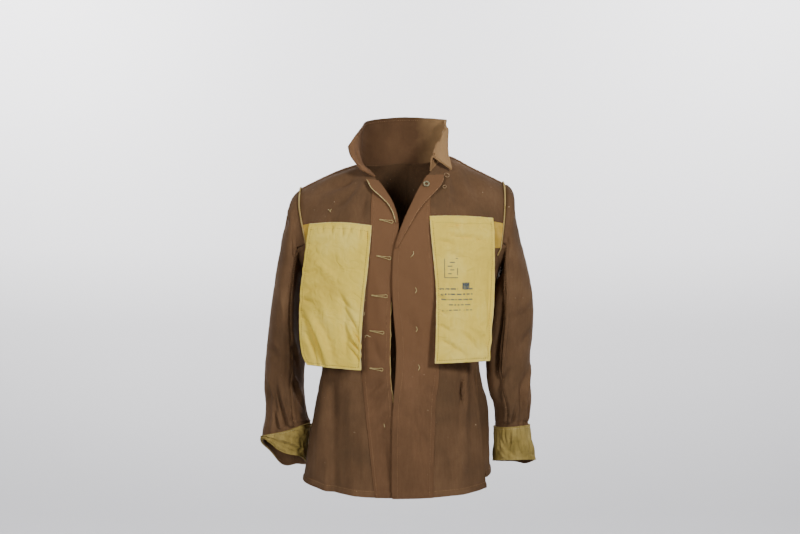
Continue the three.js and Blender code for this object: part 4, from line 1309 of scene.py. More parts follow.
    def build_lapel(self) -> None:
        """The top of the front edge, turned outwards and lifting towards its free edge."""
        name = self.side.value
        sizes = LAPEL_SIZES[self.side]
        start = float(sizes.data[0, 0])
        rows = np.nonzero((self.heights >= start - 1e-6) & (self.heights <= NECK_OVER - 0.02))[0]
        at = sizes.read("over", self.heights[rows])
        across = np.linspace(0, 1, 15)
        place, out = self.from_free_edge(rows, at["wide"][:, None] * across)
        lift = LAY + COTTON + 0.5 + at["lift"][:, None] * np.sin(across * math.pi / 2)
        crease = 0.8 * np.sin(place[..., 2] * 0.16 + across * 3) * across
        calm_ends = np.sin(math.pi * np.linspace(0, 1, len(rows)))[:, None]
        strip = Cloth(place + out * (lift + crease * calm_ends)[..., None], out)
        piece = wall_mesh(f"turned_lapel_{name}", strip, 0, LAPEL_WALL)
        WARDROBE.dress(piece, FACING_FINISH, "facing", f"lapel_{name}")
        WARDROBE.declare(piece, strip, [f"facing_strip_{name}"])
        edge = strip.moved(LAPEL_WALL / 2).points[:, -1]
        if self.side is Side.RIGHT:
            WARDROBE.dress(tube_mesh(f"lapel_edge_{name}", edge, 1.0), PALE_THREAD, "binding")
        else:
            WARDROBE.dress(tube_mesh(f"lapel_edge_{name}", edge, 0.9), BROWN_THREAD, "facing")


def build_binding(part: str, strip: Cloth) -> None:
    """A cotton tape over a seam's raw edges: a rib with a round back, square to the armhole."""
    normals = strip.normals.copy()
    normals[..., 0] = 0
    normals = unit(normals)
    base = strip.points
    share = np.linspace(0, 1, 7)
    points = base[:, :1] + (base[:, -1:] - base[:, :1]) * share[None, :, None]
    standing = Cloth(points, np.repeat(normals[:, :1], 7, axis=1)).seamed("first last top")
    puff = np.sqrt(np.clip(1 - (2 * share - 1) ** 4, 0, 1))[None, :]
    ragged = 0.3 * np.sin(standing.uv[..., 1] * 0.4) * np.sin(standing.uv[..., 1] * 0.13)
    height = LAY + 0.6 + (BINDING_HEIGHT - 0.6 + ragged) * puff
    piece = wall_mesh(f"armhole_tape_{part}", standing, LAY, height)
    WARDROBE.dress(piece, TAPE_FINISH, "binding", f"armhole_binding_{part}")
    ridge = standing.moved(LAY + BINDING_HEIGHT - 0.8).line(np.s_[:, 5])
    stitch_row(f"armhole_tape_{part}_stitches", *ridge, PALE_THREAD, "binding")


@dataclass
class BackPanel:
    """The back, with the back halves of the armhole bindings."""

    shoulder_steps: int = 34
    neck_steps: int = 44
    edge_steps: int = 2
    neck_right_x: float = -73.0
    neck_left_x: float = 80.0
    nape_height: float = 0.62
    strength: float = 1.7
    cloth: Cloth = field(init=False)
    heights: np.ndarray = field(init=False)

    def __post_init__(self) -> None:
        """Works out the back's cloth: from the right edge round behind to the left edge."""
        self.heights = panel_heights(BACK_HEM)
        right = self.half(Side.RIGHT, self.neck_right_x)
        left = self.half(Side.LEFT, self.neck_left_x)
        share = np.arange(1, self.neck_steps) / self.neck_steps
        neck = right[:, -1:] + (left[:, -1:] - right[:, -1:]) * share
        turns = np.concatenate([right, neck, left[:, ::-1]], axis=1)
        column = np.arange(turns.shape[1])
        start = self.edge_steps + self.shoulder_steps
        part = np.clip((column - start) / self.neck_steps, 0, 1)
        rise = 1 + (self.nape_height - 1) * np.sin(math.pi * part) ** 0.6
        heights = np.where(self.heights[:, None] > 0, self.heights[:, None] * rise, self.heights[:, None])
        turns = np.where(turns > math.pi, turns - 2 * math.pi, turns)
        points = body_point(turns, heights)
        normals = body_normals(points)
        x, z = points[..., 0], points[..., 2]
        level = climb_at(self.heights)[2][:, None]
        edge = np.minimum(column, column[::-1])[None, :]
        relief = self.strength * relief_of(BACK_CREASES, x, z) + ripple(x, z, 0.9, 21, 80)
        relief = relief * calm_places(edge, 14, level) + hem_relief(points)
        relief = relief + side_allowance(points, 0, level) + side_allowance(points, -1, level)
        points = points + normals * relief[..., None]
        self.cloth = Cloth(points, body_normals(points))

    def half(self, side: Side, neck_x: float) -> np.ndarray:
        """The turns from one edge to the neck line, unwound so that they rise round the back."""
        edge = edge_turn(side, self.heights, True)
        neck = turn_at(np.full_like(self.heights, neck_x), self.heights, True)
        span = body_point(edge, self.heights) - body_point(neck, self.heights)
        unwound = 2 * math.pi if side is Side.RIGHT else 0.0
        edge, neck = edge + unwound, neck + unwound
        bound = bound_turn(edge, neck, np.linalg.norm(span, axis=-1))
        return turns_between(((edge, bound, self.edge_steps), (bound, neck, self.shoulder_steps)))

    def build(self) -> None:
        """Makes the back, its bindings and its hem stitches."""
        middle = self.cloth.points.shape[1] // 2
        halves = (("right", slice(0, middle + 1), -1), ("left", slice(middle, None), 0))
        for name, columns, seam in halves:
            half = self.cloth.part(slice(None), columns)
            half = half.moved(seam_relief(half.points, seam, 11, 0.9)).seamed("first last top")
            piece = wall_mesh(f"back_panel_{name}", half, -WOOL, 0)
            WARDROBE.dress(piece, WOOL_FINISH, "wool", f"back_{name}")
            WARDROBE.declare(piece, half, [f"front_panel_{name}"])
            for n, way in (("seam", 1), ("edge", 3)):
                line = half.line(np.s_[4:-6, -1 - way if seam < 0 else way])
                stitch_row(f"back_{n}_stitches_{name}", *line, BROWN_THREAD, "wool")
        fold = tube_mesh("back_seam_fold", self.cloth.points[3:, middle] - [0, WOOL / 2, 0.3], 0.8, 6)
        WARDROBE.dress(fold, WOOL_FINISH, "wool")
        rows = slice(first_row(self.heights, BINDING_BOTTOM), None)
        build_binding("right_back", self.cloth.part(rows, slice(0, self.edge_steps + 1)))
        build_binding("left_back", self.cloth.part(rows, slice(-self.edge_steps - 1, None)))
        hem = first_row(self.heights, BACK_HEM + HEM_STITCHES)
        stitch_row("hem_stitches_back", *self.cloth.line(np.s_[hem, :]), BROWN_THREAD, "wool")


# Creases on the sleeves. Across is degrees from the outer line by the front, times 1.1.
SLEEVE_CREASES = {
    Side.RIGHT: creases(
        (86, -396, 108, -492, 4.2, -6.5, 2), (68, -446, 94, -492, 3.6, -5.0, 2),
        (98, -420, 126, -486, 4.5, 3.4, -3), (24, -388, 66, -430, 7, -3.6, 5),
        (40, -330, 96, -352, 8, -2.4, 5), (110, -310, 160, -372, 7, -4.4, 5),
        (116, -360, 166, -400, 6, 3.4, -5), (60, -60, 96, -120, 7, -3.2, 4),
        (20, -90, 64, -110, 7, -3.0, -3), (86, -120, 120, -170, 6, -3.2, 4),
        (70, -200, 110, -300, 10, 2.4, 5), (130, -390, 176, -446, 6, -4.4, 5),
        (240, -330, 300, -380, 9, -3.6, 6), (250, -380, 320, -420, 9, -3.0, -6),
        (210, -300, 260, -340, 9, 2.4, 5), (300, -120, 330, -220, 12, -2.2, 5),
        (230, -200, 250, -290, 12, 1.8, 4), (330, -430, 380, -480, 8, -2.8, 4),
    ),
    Side.LEFT: creases(
        (2, -366, 62, -424, 4.2, -9.5, 6), (64, -418, 20, -474, 4.2, -9.0, 5),
        (34, -384, 74, -450, 6, 6.0, 7), (96, -430, 110, -490, 4, -4.0, 2),
        (66, -462, 84, -492, 3.6, -3.4, 2), (118, -230, 122, -420, 6, 3.4, 3),
        (134, -240, 136, -400, 8, -4.4, 3), (96, -366, 146, -414, 6, -4.0, 4),
        (30, -250, 100, -272, 9, -2.2, -5), (24, -300, 90, -330, 8, -2.6, 5),
        (60, -80, 104, -140, 7, -3.6, 5), (90, -150, 70, -280, 12, -1.8, 6),
        (30, -180, 46, -330, 14, 1.6, 4), (240, -330, 300, -380, 9, -3.4, 6),
        (236, -372, 310, -424, 9, -3.0, -6), (210, -296, 262, -342, 9, 2.4, 5),
        (296, -120, 330, -224, 12, -2.2, 5), (330, -420, 384, -474, 8, -2.8, 4),
    ),
}
# Creases of the cuff cotton: across is 0.8 mm for a degree of turn, up from its lower edge in mm.
CUFF_CREASES = {
    Side.RIGHT: creases(
        (44, 30, 122, 4, 2.8, -3.2, 4), (58, 44, 124, 14, 2.8, 2.8, -4),
        (80, 50, 120, 24, 2.4, -2.8, 3), (30, 20, 92, 0, 2.4, 2.4, 3), (94, 54, 128, 36, 2.6, 2.6, 2),
        (66, 22, 106, 8, 2.0, -2.4, -2), (102, 46, 108, 6, 2.4, -2.6, 3),
        (20, 40, 54, 22, 3.0, -2.0, 3), (160, 50, 190, 6, 4.0, -2.4, 4),
        (214, 50, 200, 4, 4.0, 2.4, 4), (250, 46, 262, 8, 4.0, -2.4, 3),
    ),
    Side.LEFT: creases(
        (66, 52, 60, 10, 2.4, -3.0, 2), (76, 50, 84, 16, 2.4, 2.4, -2), (94, 54, 88, 6, 2.4, -2.6, 3),
        (112, 40, 72, 8, 2.6, -2.8, 3), (124, 30, 88, 2, 2.6, 2.6, 2), (30, 46, 40, 8, 3.0, -2.0, 3),
        (46, 18, 16, 8, 2.4, -2.2, 2), (130, 50, 118, 12, 2.6, -2.6, 2),
        (170, 50, 186, 6, 4.0, -2.4, 4), (222, 50, 210, 4, 4.0, 2.4, 4),
        (256, 46, 266, 8, 4.0, -2.4, 3),
    ),
}
DEGREE = 1.1  # millimetres of a sleeve's width for each degree of turn, near enough
UNDER_FROM, UNDER_TO = 0.31, 0.70  # the shares of the ring where the under sleeve begins and ends


@dataclass
class Sleeve:
    """A two-piece sleeve and the cotton facing of its end."""

    side: Side
    front: FrontPanel
    back: BackPanel
    columns: int = 176
    cloth: Cloth = field(init=False)
    turns: np.ndarray = field(init=False)
    steps: np.ndarray = field(init=False)

    def __post_init__(self) -> None:
        """Carries the armhole's ring through the sleeve's sections down to the cuff."""
        ring = self.armhole()
        ring = np.concatenate([ring, ring[:1]])
        run = run_along(ring)
        at = np.arange(self.columns) / self.columns * run[-1]
        self.turns = at / run[-1] * 2 * math.pi
        rings = np.stack([read_line(ring, run, at), *self.section_rings()])
        self.steps = np.concatenate([
            np.linspace(0, CUFF_STEP, 133)[:-1], np.linspace(CUFF_STEP, CUFF_STEP + 1, 24)
        ])
        points = self.between(rings)
        points[..., 2] -= self.cuff_sag()
        normals = self.out(points)
        z = points[..., 2]
        across = np.broadcast_to(self.turns[None, :], z.shape)
        relief = np.zeros_like(z)
        for place, top, bottom, width, depth in (*SLEEVE_FOLDS, INNER_FOLDS[self.side]):
            along = ramp(-z, -top - 20, -top + 20) * ramp(z, bottom - 20, bottom + 20)
            relief += depth * along * bell(across - math.radians(place), math.radians(width))
        flat = np.degrees(across) * DEGREE
        wrap = flat - 360 * DEGREE
        table = SLEEVE_CREASES[self.side]
        fine = relief_of(table, flat, z) + relief_of(table, wrap, z)
        fine += ripple(points[..., 0] * 1.3, z, 0.8, 31 if self.side is Side.RIGHT else 32, 50)
        calm = ramp(self.steps, 0.1, 1.4) * (1 - ramp(self.steps, CUFF_STEP - 0.8, CUFF_STEP))
        points = points + normals * (relief + fine * calm[:, None])[..., None]
        self.cloth = Cloth(points, self.out(points), True)

    def cuff_sag(self) -> np.ndarray:
        """How much lower parts of the sleeve's end hang."""
        sag = np.zeros_like(self.turns)
        for at, width, drop in CUFF_SAGS[self.side]:
            sag += drop * bell(self.turns - math.radians(at), math.radians(width))
        return sag[None, :] * ramp(self.steps, CUFF_STEP - 0.6, CUFF_STEP + 1)[:, None]

    def armhole(self) -> np.ndarray:
        """The armhole's edge: down the front from the shoulder tip, and up the back."""
        last = 0 if self.side is Side.RIGHT else -1
        start = first_row(self.front.heights, UNDERARM)
        down = self.front.cloth.points[start:, 0][::-1]
        start = first_row(self.back.heights, UNDERARM)
        up = self.back.cloth.points[start:, last][1:-1]
        ring = np.concatenate([down, up])
        return ring + [self.side.sign * SLEEVE_GAP, 0, 0]

    def section_rings(self) -> list[np.ndarray]:
        """A superellipse round each section's middle, its back rim lower by the drop."""
        rings = []
        for row in SLEEVE_SECTIONS[self.side]:
            outer_x, outer_z, inner_x, inner_z, y, depth, drop = row
            out = spow(np.cos(self.turns), 2 / SLEEVE_CORNER)
            forward = spow(np.sin(self.turns), 2 / SLEEVE_CORNER)
            x = (outer_x + inner_x) / 2 + (outer_x - inner_x) / 2 * out
            z = (outer_z + inner_z) / 2 + (outer_z - inner_z) / 2 * out + drop * forward
            rings.append(np.stack([x, y - depth * forward, z], axis=-1))
        return rings

    def between(self, rings: np.ndarray) -> np.ndarray:
        """Cubic blends between the section rings, at each step down the sleeve."""
        i = np.minimum(len(rings) - 2, self.steps.astype(int))
        t = (self.steps - i)[:, None, None]
        before, after = np.maximum(i - 1, 0), np.minimum(i + 2, len(rings) - 1)
        slope_in, slope_out = (rings[i + 1] - rings[before]) / 2, (rings[after] - rings[i]) / 2
        fall, rise = t * t * (3 - 2 * t), t * (1 - t)
        return rings[i] + (rings[i + 1] - rings[i]) * fall + rise * ((1 - t) * slope_in - t * slope_out)

    def out(self, points: np.ndarray) -> np.ndarray:
        """Directions out of the tube, flat at the armhole so that its rim meets the body's."""
        normals = surface_normals(points, True)
        normals[0, :, 0] = 0
        return turned_out(unit(normals), points - points.mean(axis=1, keepdims=True))

    def strip(self, start: float, end: float) -> Cloth:
        """The columns of the tube from one share of its ring to another, past its start if need be."""
        index = np.arange(round(start * self.columns), round(end * self.columns) + 1)
        wrapped = index % self.columns
        uv = self.cloth.uv[:, wrapped].copy()
        uv[..., 0] += (index // self.columns)[None, :] * self.cloth.uv[0, -1, 0]
        return Cloth(self.cloth.points[:, wrapped], self.cloth.normals[:, wrapped], False, uv)

    def build(self) -> None:
        """Makes the under sleeve, the top sleeve, the cuff facing and their stitches."""
        name = self.side.value
        under = self.seam_allowances(self.strip(UNDER_FROM, UNDER_TO))
        top = self.seam_allowances(self.strip(UNDER_TO, 1 + UNDER_FROM))
        for part, cloth in (("under", under), ("top", top)):
            cloth = cloth.seamed("first last", 0.3)
            piece = wall_mesh(f"{part}_sleeve_cloth_{name}", cloth, -WOOL, 0)
            WARDROBE.dress(piece, WOOL_FINISH, "wool", f"{part}_sleeve_{name}")
            WARDROBE.declare(piece, cloth, [f"front_panel_{name}", f"back_panel_{name}"])
            for n, column in (("first", 1), ("last", -2)):
                line = cloth.line(np.s_[6:-26, column])
                stitch_row(f"{part}_{n}_stitches_{name}", *line, BROWN_THREAD, "wool")
        self.build_cuff()

    def seam_allowances(self, cloth: Cloth) -> Cloth:
        """Raises the pressed allowances along both long edges."""
        relief = seam_relief(cloth.points, 0, 8, 2.2) + seam_relief(cloth.points, -1, 8, 2.2)
        along = cloth.uv[..., 1]
        pull = np.sin(along * 0.62 + 2.0 * np.sin(along * 0.11)) * np.sin(along * 0.047)
        flat = 1 - ramp(self.steps, CUFF_STEP - 0.5, CUFF_STEP - 0.1)[:, None]
        return cloth.moved(relief * (1 + 0.35 * pull) * flat)

    def build_cuff(self) -> None:
        """The cotton facing of the sleeve end, puckered along its edges."""
        name = self.side.value
        start = int(np.argmax(self.steps >= CUFF_STEP))
        ring = Cloth(self.cloth.points[start:], self.cloth.normals[start:], True, self.cloth.uv[start:])
        down = np.linspace(0, 1, len(ring.points))[:, None]
        turn = self.turns[None, :]
        middle = np.sin(math.pi * down)
        pucker = 0.7 * np.sin(turn * 13 + 3 * np.sin(turn * 3) + down * 4) * middle
        pucker += 0.5 * np.sin(turn * 29 + down * 7) * middle**2
        flat, up = np.broadcast_arrays(np.degrees(turn) * 0.8, (1 - down) * 54)
        pucker = pucker + relief_of(CUFF_CREASES[self.side], flat, up) * np.minimum(1, 3 * middle)
        pucker = pucker + 1.2 * np.sin(down * 11 + 2 * np.sin(turn)) * np.sin(turn * 2 + 0.6) * middle
        rim = 0.8 * (bell(down, 0.06) + bell(1 - down, 0.08))
        low = np.maximum(LAY + COTTON + 1.2 + pucker + rim, LAY + 0.6)
        piece = wall_mesh(f"cuff_cotton_{name}", ring, LAY, low)
        WARDROBE.dress(piece, CUFF_FINISH, "cuff_cotton", f"cuff_facing_{name}")
        WARDROBE.declare(piece, ring, [f"top_sleeve_cloth_{name}"])
        all_round = np.arange(self.columns + 1) % self.columns
        line = ring.moved(LAY + COTTON + 1.4).line(np.s_[2, all_round])
        stitch_row(f"cuff_stitches_{name}", *line, PALE_THREAD, "cuff_cotton")


@dataclass
class Collar:
    """The collar: turned up all round, its left end rolled over outwards."""

    right: FrontPanel
    left: FrontPanel
    back: BackPanel
    rows: int = 48
    columns: int = 150
    height: float = 85.0
    seat: float = 0.5
    wall: float = 2.2
    folded_from: tuple[float, float] = (0.66, 0.76)
    fold_round: float = 0.06
    cloth: Cloth = field(init=False)

    def __post_init__(self) -> None:
        """Raises a curve from each place of the neckline through its roll to its tip."""
        base = self.neckline()
        run = run_along(base)
        even = np.linspace(0, 1, self.columns)
        base = read_line(base, run / run[-1], even)
        at = COLLAR.read("way", even)
        roll = np.stack([at["roll_x"], at["roll_y"], at["roll_z"]], axis=-1)
        tip = np.stack([at["tip_x"], at["tip_y"], at["tip_z"]], axis=-1)
        through = 2 * roll - (base + tip) / 2
        t = np.linspace(0, 1, self.rows)[:, None, None]
        rolled = base * (1 - t) ** 2 + through * 2 * t * (1 - t) + tip * t * t
        folded = ramp(even, *self.folded_from)[:, None]
        points = rolled * (1 - folded) + self.fall(base, roll, tip, t) * folded
        normals = self.out(points)
        way = np.broadcast_to(even[None, :] * run[-1], points.shape[:2])
        up = np.broadcast_to(t[..., 0] * self.height, points.shape[:2])
        relief = ripple(way, up, 0.8, 41, 45) * ramp(up, 0, 20)
        relief += relief_of(self.folds(run[-1]), way, up)
        points = points + normals * relief[..., None]
        self.cloth = Cloth(points, self.out(points))

    def fall(self, base: np.ndarray, roll: np.ndarray, tip: np.ndarray, t: np.ndarray) -> np.ndarray:
        """The folded end: straight up to the fold and straight down to the tip, with a small round."""
        stand = np.linalg.norm(roll - base, axis=-1, keepdims=True)
        share = stand / (stand + np.linalg.norm(tip - roll, axis=-1, keepdims=True))
        past = (t - share + np.sqrt((t - share) ** 2 + self.fold_round**2)) / 2
        return base + (roll - base) * (t - past) / share + (tip - roll) * past / (1 - share)

    @staticmethod
    def folds(length: float) -> tuple[Crease, ...]:
        """Creases of the collar, by the way along it and the height above its seam."""
        return creases(
            (6, 8, 16, 34, 5, -2.6, 2),
            (22, 6, 30, 60, 8, 1.8, 3),
            (2, 40, 30, 78, 8, -1.6, 3),
            (length - 16, 20, length - 6, 60, 5, 2.2, -2),
            (length - 40, 14, length - 30, 60, 8, -2.0, 3),
            (length * 0.5, 10, length * 0.46, 70, 10, -1.5, 4),
            (length - 44, 62, length - 6, 70, 4, -1.4, 3),
        )

    def neckline(self) -> np.ndarray:
        """The line just past the cloth's edge, from the right front round the nape to the left."""
        def past(edge: np.ndarray, inside: np.ndarray) -> np.ndarray:
            return edge + unit(edge - inside) * self.seat

        def front(panel: FrontPanel) -> np.ndarray:
            rows = panel.heights >= NECK_OVER - 1e-6
            return past(panel.cloth.points[rows, -1], panel.cloth.points[rows, -2])

        start = self.back.edge_steps + self.back.shoulder_steps
        columns = slice(start + 1, start + self.back.neck_steps)
        nape = past(self.back.cloth.points[-1, columns], self.back.cloth.points[-2, columns])
        return np.concatenate([front(self.right), nape, front(self.left)[::-1]])

    @staticmethod
    def out(points: np.ndarray) -> np.ndarray:
        """Directions square to the collar, away from the neck at the nape."""
        normals = surface_normals(points)
        middle = points.shape[1] // 2
        return -normals if normals[0, middle, 1] < 0 else normals

    def build(self) -> None:
        """Makes the collar and its stitched edge."""
        edge = np.linspace(0, 1, self.rows)[:, None]
        column = np.arange(self.columns)[None, :]
        near_end = np.minimum(column, self.columns - 1 - column) / 5
        puff = 0.4 * bell(1 - edge, 0.06) + 0.3 * bell(near_end, 0.6)
        piece = wall_mesh("turned_up_collar", self.cloth, -self.wall - puff, puff)
        WARDROBE.dress(piece, COLLAR_FINISH, "collar", "collar")
        panels = [f"{part}_panel_{side}" for part in ("back", "front") for side in ("right", "left")]
        WARDROBE.declare(piece, self.cloth, panels)
        seam = tube_mesh("neckline_seam", self.cloth.points[0] - [0, 0, 0.4], 1.5, 8)
        WARDROBE.dress(seam, WOOL_FINISH, "wool")
        row = self.rows - 4
        for name, lift in (("outer", 0.1), ("inner", -self.wall - 0.1)):
            path, out = self.cloth.moved(lift).line(np.s_[row, 3:-3])
            stitch_row(f"collar_stitches_{name}", path, out * np.sign(lift), BROWN_THREAD, "collar")


BAG_CREASES = {
    Side.RIGHT: creases(
        (-174, -262, -136, -352, 4.5, -4.6, 5), (-168, -290, -146, -352, 3.4, -3.0, 3),
        (-160, -270, -126, -350, 5, 2.6, 5), (-104, -224, -96, -348, 7, -2.6, 3),
        (-100, -250, -74, -300, 3.2, -2.4, 3), (-104, -268, -72, -322, 3.4, 2.0, 3),
        (-92, -282, -70, -318, 2.6, -2.6, 2), (-94, -300, -70, -332, 2.6, -2.4, 2),
        (-92, -318, -72, -344, 2.6, -2.2, 2), (-108, -226, -76, -262, 3.4, -1.8, -3),
        (-166, -150, -120, -138, 4, -1.7, 3), (-168, -196, -136, -180, 4, -1.6, -3),
        (-170, -232, -140, -214, 4, -1.5, 3), (-176, -240, -150, -246, 4, -1.6, 2),
        (-152, -176, -112, -210, 8, 1.5, 4), (-150, -220, -126, -286, 8, 1.6, 4),
        (-120, -108, -122, -128, 2.6, -1.5, 1), (-139, -108, -136, -126, 2.6, -1.4, 1),
        (-104, -108, -101, -130, 2.6, -1.4, 1), (-88, -108, -90, -126, 2.6, -1.3, 1),
        (-72, -112, -74, -136, 2.6, -1.5, 1), (-62, -114, -60, -140, 2.6, -1.4, 1),
    ),
    Side.LEFT: creases(
        (62, -118, 124, -112, 3.4, -2.0, 5), (74, -124, 118, -130, 3.4, -1.8, -4),
        (84, -112, 100, -138, 3.2, 0.8, 2), (60, -138, 88, -146, 3.2, -1.6, 3),
        (104, -132, 150, -142, 3.6, -1.7, 3), (124, -112, 150, -124, 3.0, -1.4, 2),
        (70, -160, 110, -172, 5, -1.3, 4), (58, -232, 76, -240, 2.8, -1.6, 2),
        (62, -256, 80, -266, 2.8, -1.6, 2), (62, -280, 84, -296, 3.2, -1.8, 2),
        (64, -306, 92, -324, 3.4, -2.0, 3), (96, -292, 132, -330, 4.5, -1.9, 4),
        (112, -280, 140, -300, 4.5, 1.6, 3), (84, -318, 112, -340, 4, -1.6, 3),
        (150, -180, 153, -330, 4, -2.0, -2), (138, -296, 152, -338, 3.4, -1.9, 2),
        (70, -220, 78, -336, 8, 1.6, 3), (100, -170, 92, -250, 12, 1.5, 4),
        (96, -104, 94, -114, 2.8, -1.2, 1), (132, -106, 134, -118, 2.8, -1.2, 1),
    ),
}


@dataclass
class PocketBag:
    """A cotton pocket bag, sewn on at its top and hanging free below."""

    side: Side
    front: FrontPanel
    rows: int = 96
    columns: int = 52
    strength: float = 1.5
    cloth: Cloth = field(init=False)

    def __post_init__(self) -> None:
        """Lets the bag leave the front at its top edge and hang on a wider curve."""
        down = np.linspace(0, 1, self.rows)[:, None]
        at = BAGS[self.side].read("part", down)
        across = np.linspace(0, 1, self.columns)[None, :]
        x = at["outer_x"] + (at["inner_x"] - at["outer_x"]) * across
        z = at["z"] + self.edge_sag(across, down)
        bend = (1 - (np.abs(x) / BAG_WRAP) ** 2.4) ** (1 / 2.4)
        hang = BAG_MIDDLE_Y + (BAG_FRONT - BAG_MIDDLE_Y) * bend - at["stand"]
        spot = Spot(self.front.cloth)
        sewn = spot.find(x[0], z[0], 0)[0][:, 1][None, :] - BAG_SEAT - at["stand"]
        top = np.stack([np.interp(z[:, c], *self.body_line(c, x)) for c in range(self.columns)], axis=1)
        sewn = np.minimum(sewn, top - BAG_SEAT - at["stand"])
        y = sewn + (hang - sewn) * ramp(down, 0, 0.3)
        points = np.stack([x, y, z], axis=-1)
        normals = self.out(points)
        seed = 51 if self.side is Side.RIGHT else 53
        relief = self.strength * relief_of(BAG_CREASES[self.side], x, z) + ripple(x, z, 0.8, seed, 55)
        relief += ripple(x, z, 0.35, seed + 1, 16) * ramp(ripple(x, z, 1.0, seed + 2, 50), -0.2, 0.4)
        relief = np.maximum(relief, -6.5) * ramp(down, 0.0, 0.05)
        points = points + normals * relief[..., None]
        self.cloth = Cloth(points, self.out(points))

    def body_line(self, column: int, x: np.ndarray) -> tuple[np.ndarray, np.ndarray]:
        """Heights and depths of the front behind a column of the bag."""
        heights = np.linspace(-360, -80, 15)
        place, _ = Spot(self.front.cloth).find(np.full(15, x[0, column]), heights, 0)
        return heights, place[:, 1]

    def edge_sag(self, across: np.ndarray, down: np.ndarray) -> np.ndarray:
        """The top edge's slight arch and the bottom edge's slant."""
        arch, slant, rise = (4.0, 6.0, -3.0) if self.side is Side.RIGHT else (2.0, 2.0, 3.0)
        top = (arch * np.sin(math.pi * across) + rise * across) * (1 - down)
        return top - slant * across * down

    @staticmethod
    def out(points: np.ndarray) -> np.ndarray:
        """Directions square to the bag, towards the front."""
        return turned_out(surface_normals(points), np.array([0.0, -1.0, 0.0]))

    def build(self) -> None:
        """Makes the bag with its rounded, stitched edges."""
        name = self.side.value
        rows, columns = self.rows, self.columns
        row, column = np.arange(rows)[:, None], np.arange(columns)[None, :]
        from_ends = np.minimum(row, rows - 1 - row) * 2.6
        edge = np.minimum(from_ends, np.minimum(column, columns - 1 - column) * 2.1)
        groove = 0.6 * bell(edge - 5.0, 1.6)
        lip = 0.3 * bell(edge - 1.5, 2.0)
        piece = wall_mesh(f"chest_bag_{name}", self.cloth, 0.0, BAG_WALL - groove + lip)
        WARDROBE.dress(piece, BAG_FINISH, "bag_cotton", f"pocket_bag_{name}")
        WARDROBE.declare(piece, self.cloth, [f"front_panel_{name}"])
        rim = self.cloth.moved(BAG_WALL * 0.55).points
        loop = np.concatenate([rim[:, 0], rim[-1, 1:-1], rim[::-1, -1], rim[0, -2:0:-1]])
        step = np.arange(len(loop))
        thick = 0.75 + 0.15 * np.sin(step * 0.9) * np.sin(step * 0.23)
        WARDROBE.dress(tube_mesh(f"bag_edge_{name}", loop, thick, 8, True), EDGE_FINISH, "bag_cotton")
        line = self.cloth.moved(BAG_WALL - 0.2)
        legs = [line.line(where) for where in (np.s_[2:-2, 2], np.s_[-3, 2:-2], np.s_[-3:1:-1, -3])]
        path, out = (np.concatenate(parts) for parts in zip(*legs))
        stitch_row(f"bag_stitches_{name}", path, out, OCHRE_THREAD, "bag_cotton", thick=0.5)
        for n, row in (("edge", 1), ("hem", 4)):
            top = line.line(np.s_[row, 2:-2])
            stitch_row(f"bag_top_{n}_stitches_{name}", *top, OCHRE_THREAD, "bag_cotton")


@dataclass
class InkMarks:
    """Plain marks in faded ink on a pocket bag: rows of dashes, a block and an empty frame."""

    bag: PocketBag
    first_row: float = -219.0
    row_step: float = 9.0
    rows: int = 5
    left_x: float = 60.0
    right_x: float = 132.0
    height: float = 2.6
    seed: int = 61

    def boxes(self) -> np.ndarray:
        """Each mark's middle and size, as x, z, width and height."""
        rng = np.random.default_rng(self.seed)
        marks = [(103.0 + 2.4 * n, -214.0 + 2.3 * m, 2.5, 2.4) for n in range(5) for m in range(-2, 3)]
        for n in range(self.rows):
            x = self.left_x + rng.uniform(0, 9)
            while x < self.right_x - 12 - n:
                width = rng.uniform(2.5, 9.0)
                z = self.first_row - self.row_step * n
                marks.append((x + width / 2, z, width, self.height - 0.25 * n))
                x += width + rng.uniform(1.4, 2.6)
        marks += [(83, -168, 22, 1.2), (83, -200, 22, 1.2), (72, -184, 1.2, 33), (94, -184, 1.2, 33)]
        for n in range(4):
            marks.append((83 + 2.0 * (-1) ** n, -174 - 6.4 * n, 9 - n, 1.6))
        return np.array(marks)

    def build(self) -> None:
        """Lays every mark on the bag as a thin flat box that follows the cloth."""
        marks = self.boxes()
        corner = np.array([[-1, -1], [1, -1], [1, 1], [-1, 1]]) / 2
        x = marks[:, None, 0] + corner[None, :, 0] * marks[:, None, 2]
        z = marks[:, None, 1] + corner[None, :, 1] * marks[:, None, 3]
        spot = Spot(self.bag.cloth)
        layers = [spot.find(x.ravel(), z.ravel(), BAG_WALL + lift)[0] for lift in (-0.5, 0.12)]
        points = np.stack([layer.reshape(-1, 4, 3) for layer in layers], axis=1).reshape(-1, 3)
        faces = [[3, 2, 1, 0], [4, 5, 6, 7], [0, 1, 5, 4], [1, 2, 6, 5], [2, 3, 7, 6], [3, 0, 4, 7]]
        quads = (np.arange(len(marks))[:, None, None] * 8 + np.array(faces)[None]).reshape(-1, 4)
        WARDROBE.dress(put_mesh("plain_ink_marks", points, quads), INK_FINISH, "bag_cotton")


@dataclass(frozen=True)
class Buttonhole:
    """A keyhole buttonhole: where its bar and its eye lie on the facing, as x and z."""

    bar: tuple[float, float]
    eye: tuple[float, float]


BUTTONHOLES = (
    Buttonhole((-37.7, -102), (-15.5, -106)),
    Buttonhole((-42.8, -163), (-18.9, -167.5)),
    Buttonhole((-51.3, -230), (-25.7, -231.5)),
    Buttonhole((-54.7, -291), (-30.8, -294.5)),
    Buttonhole((-54.7, -356.5), (-32.5, -358.5)),
)
EYE_RADIUS = 2.6  # of a buttonhole's round end
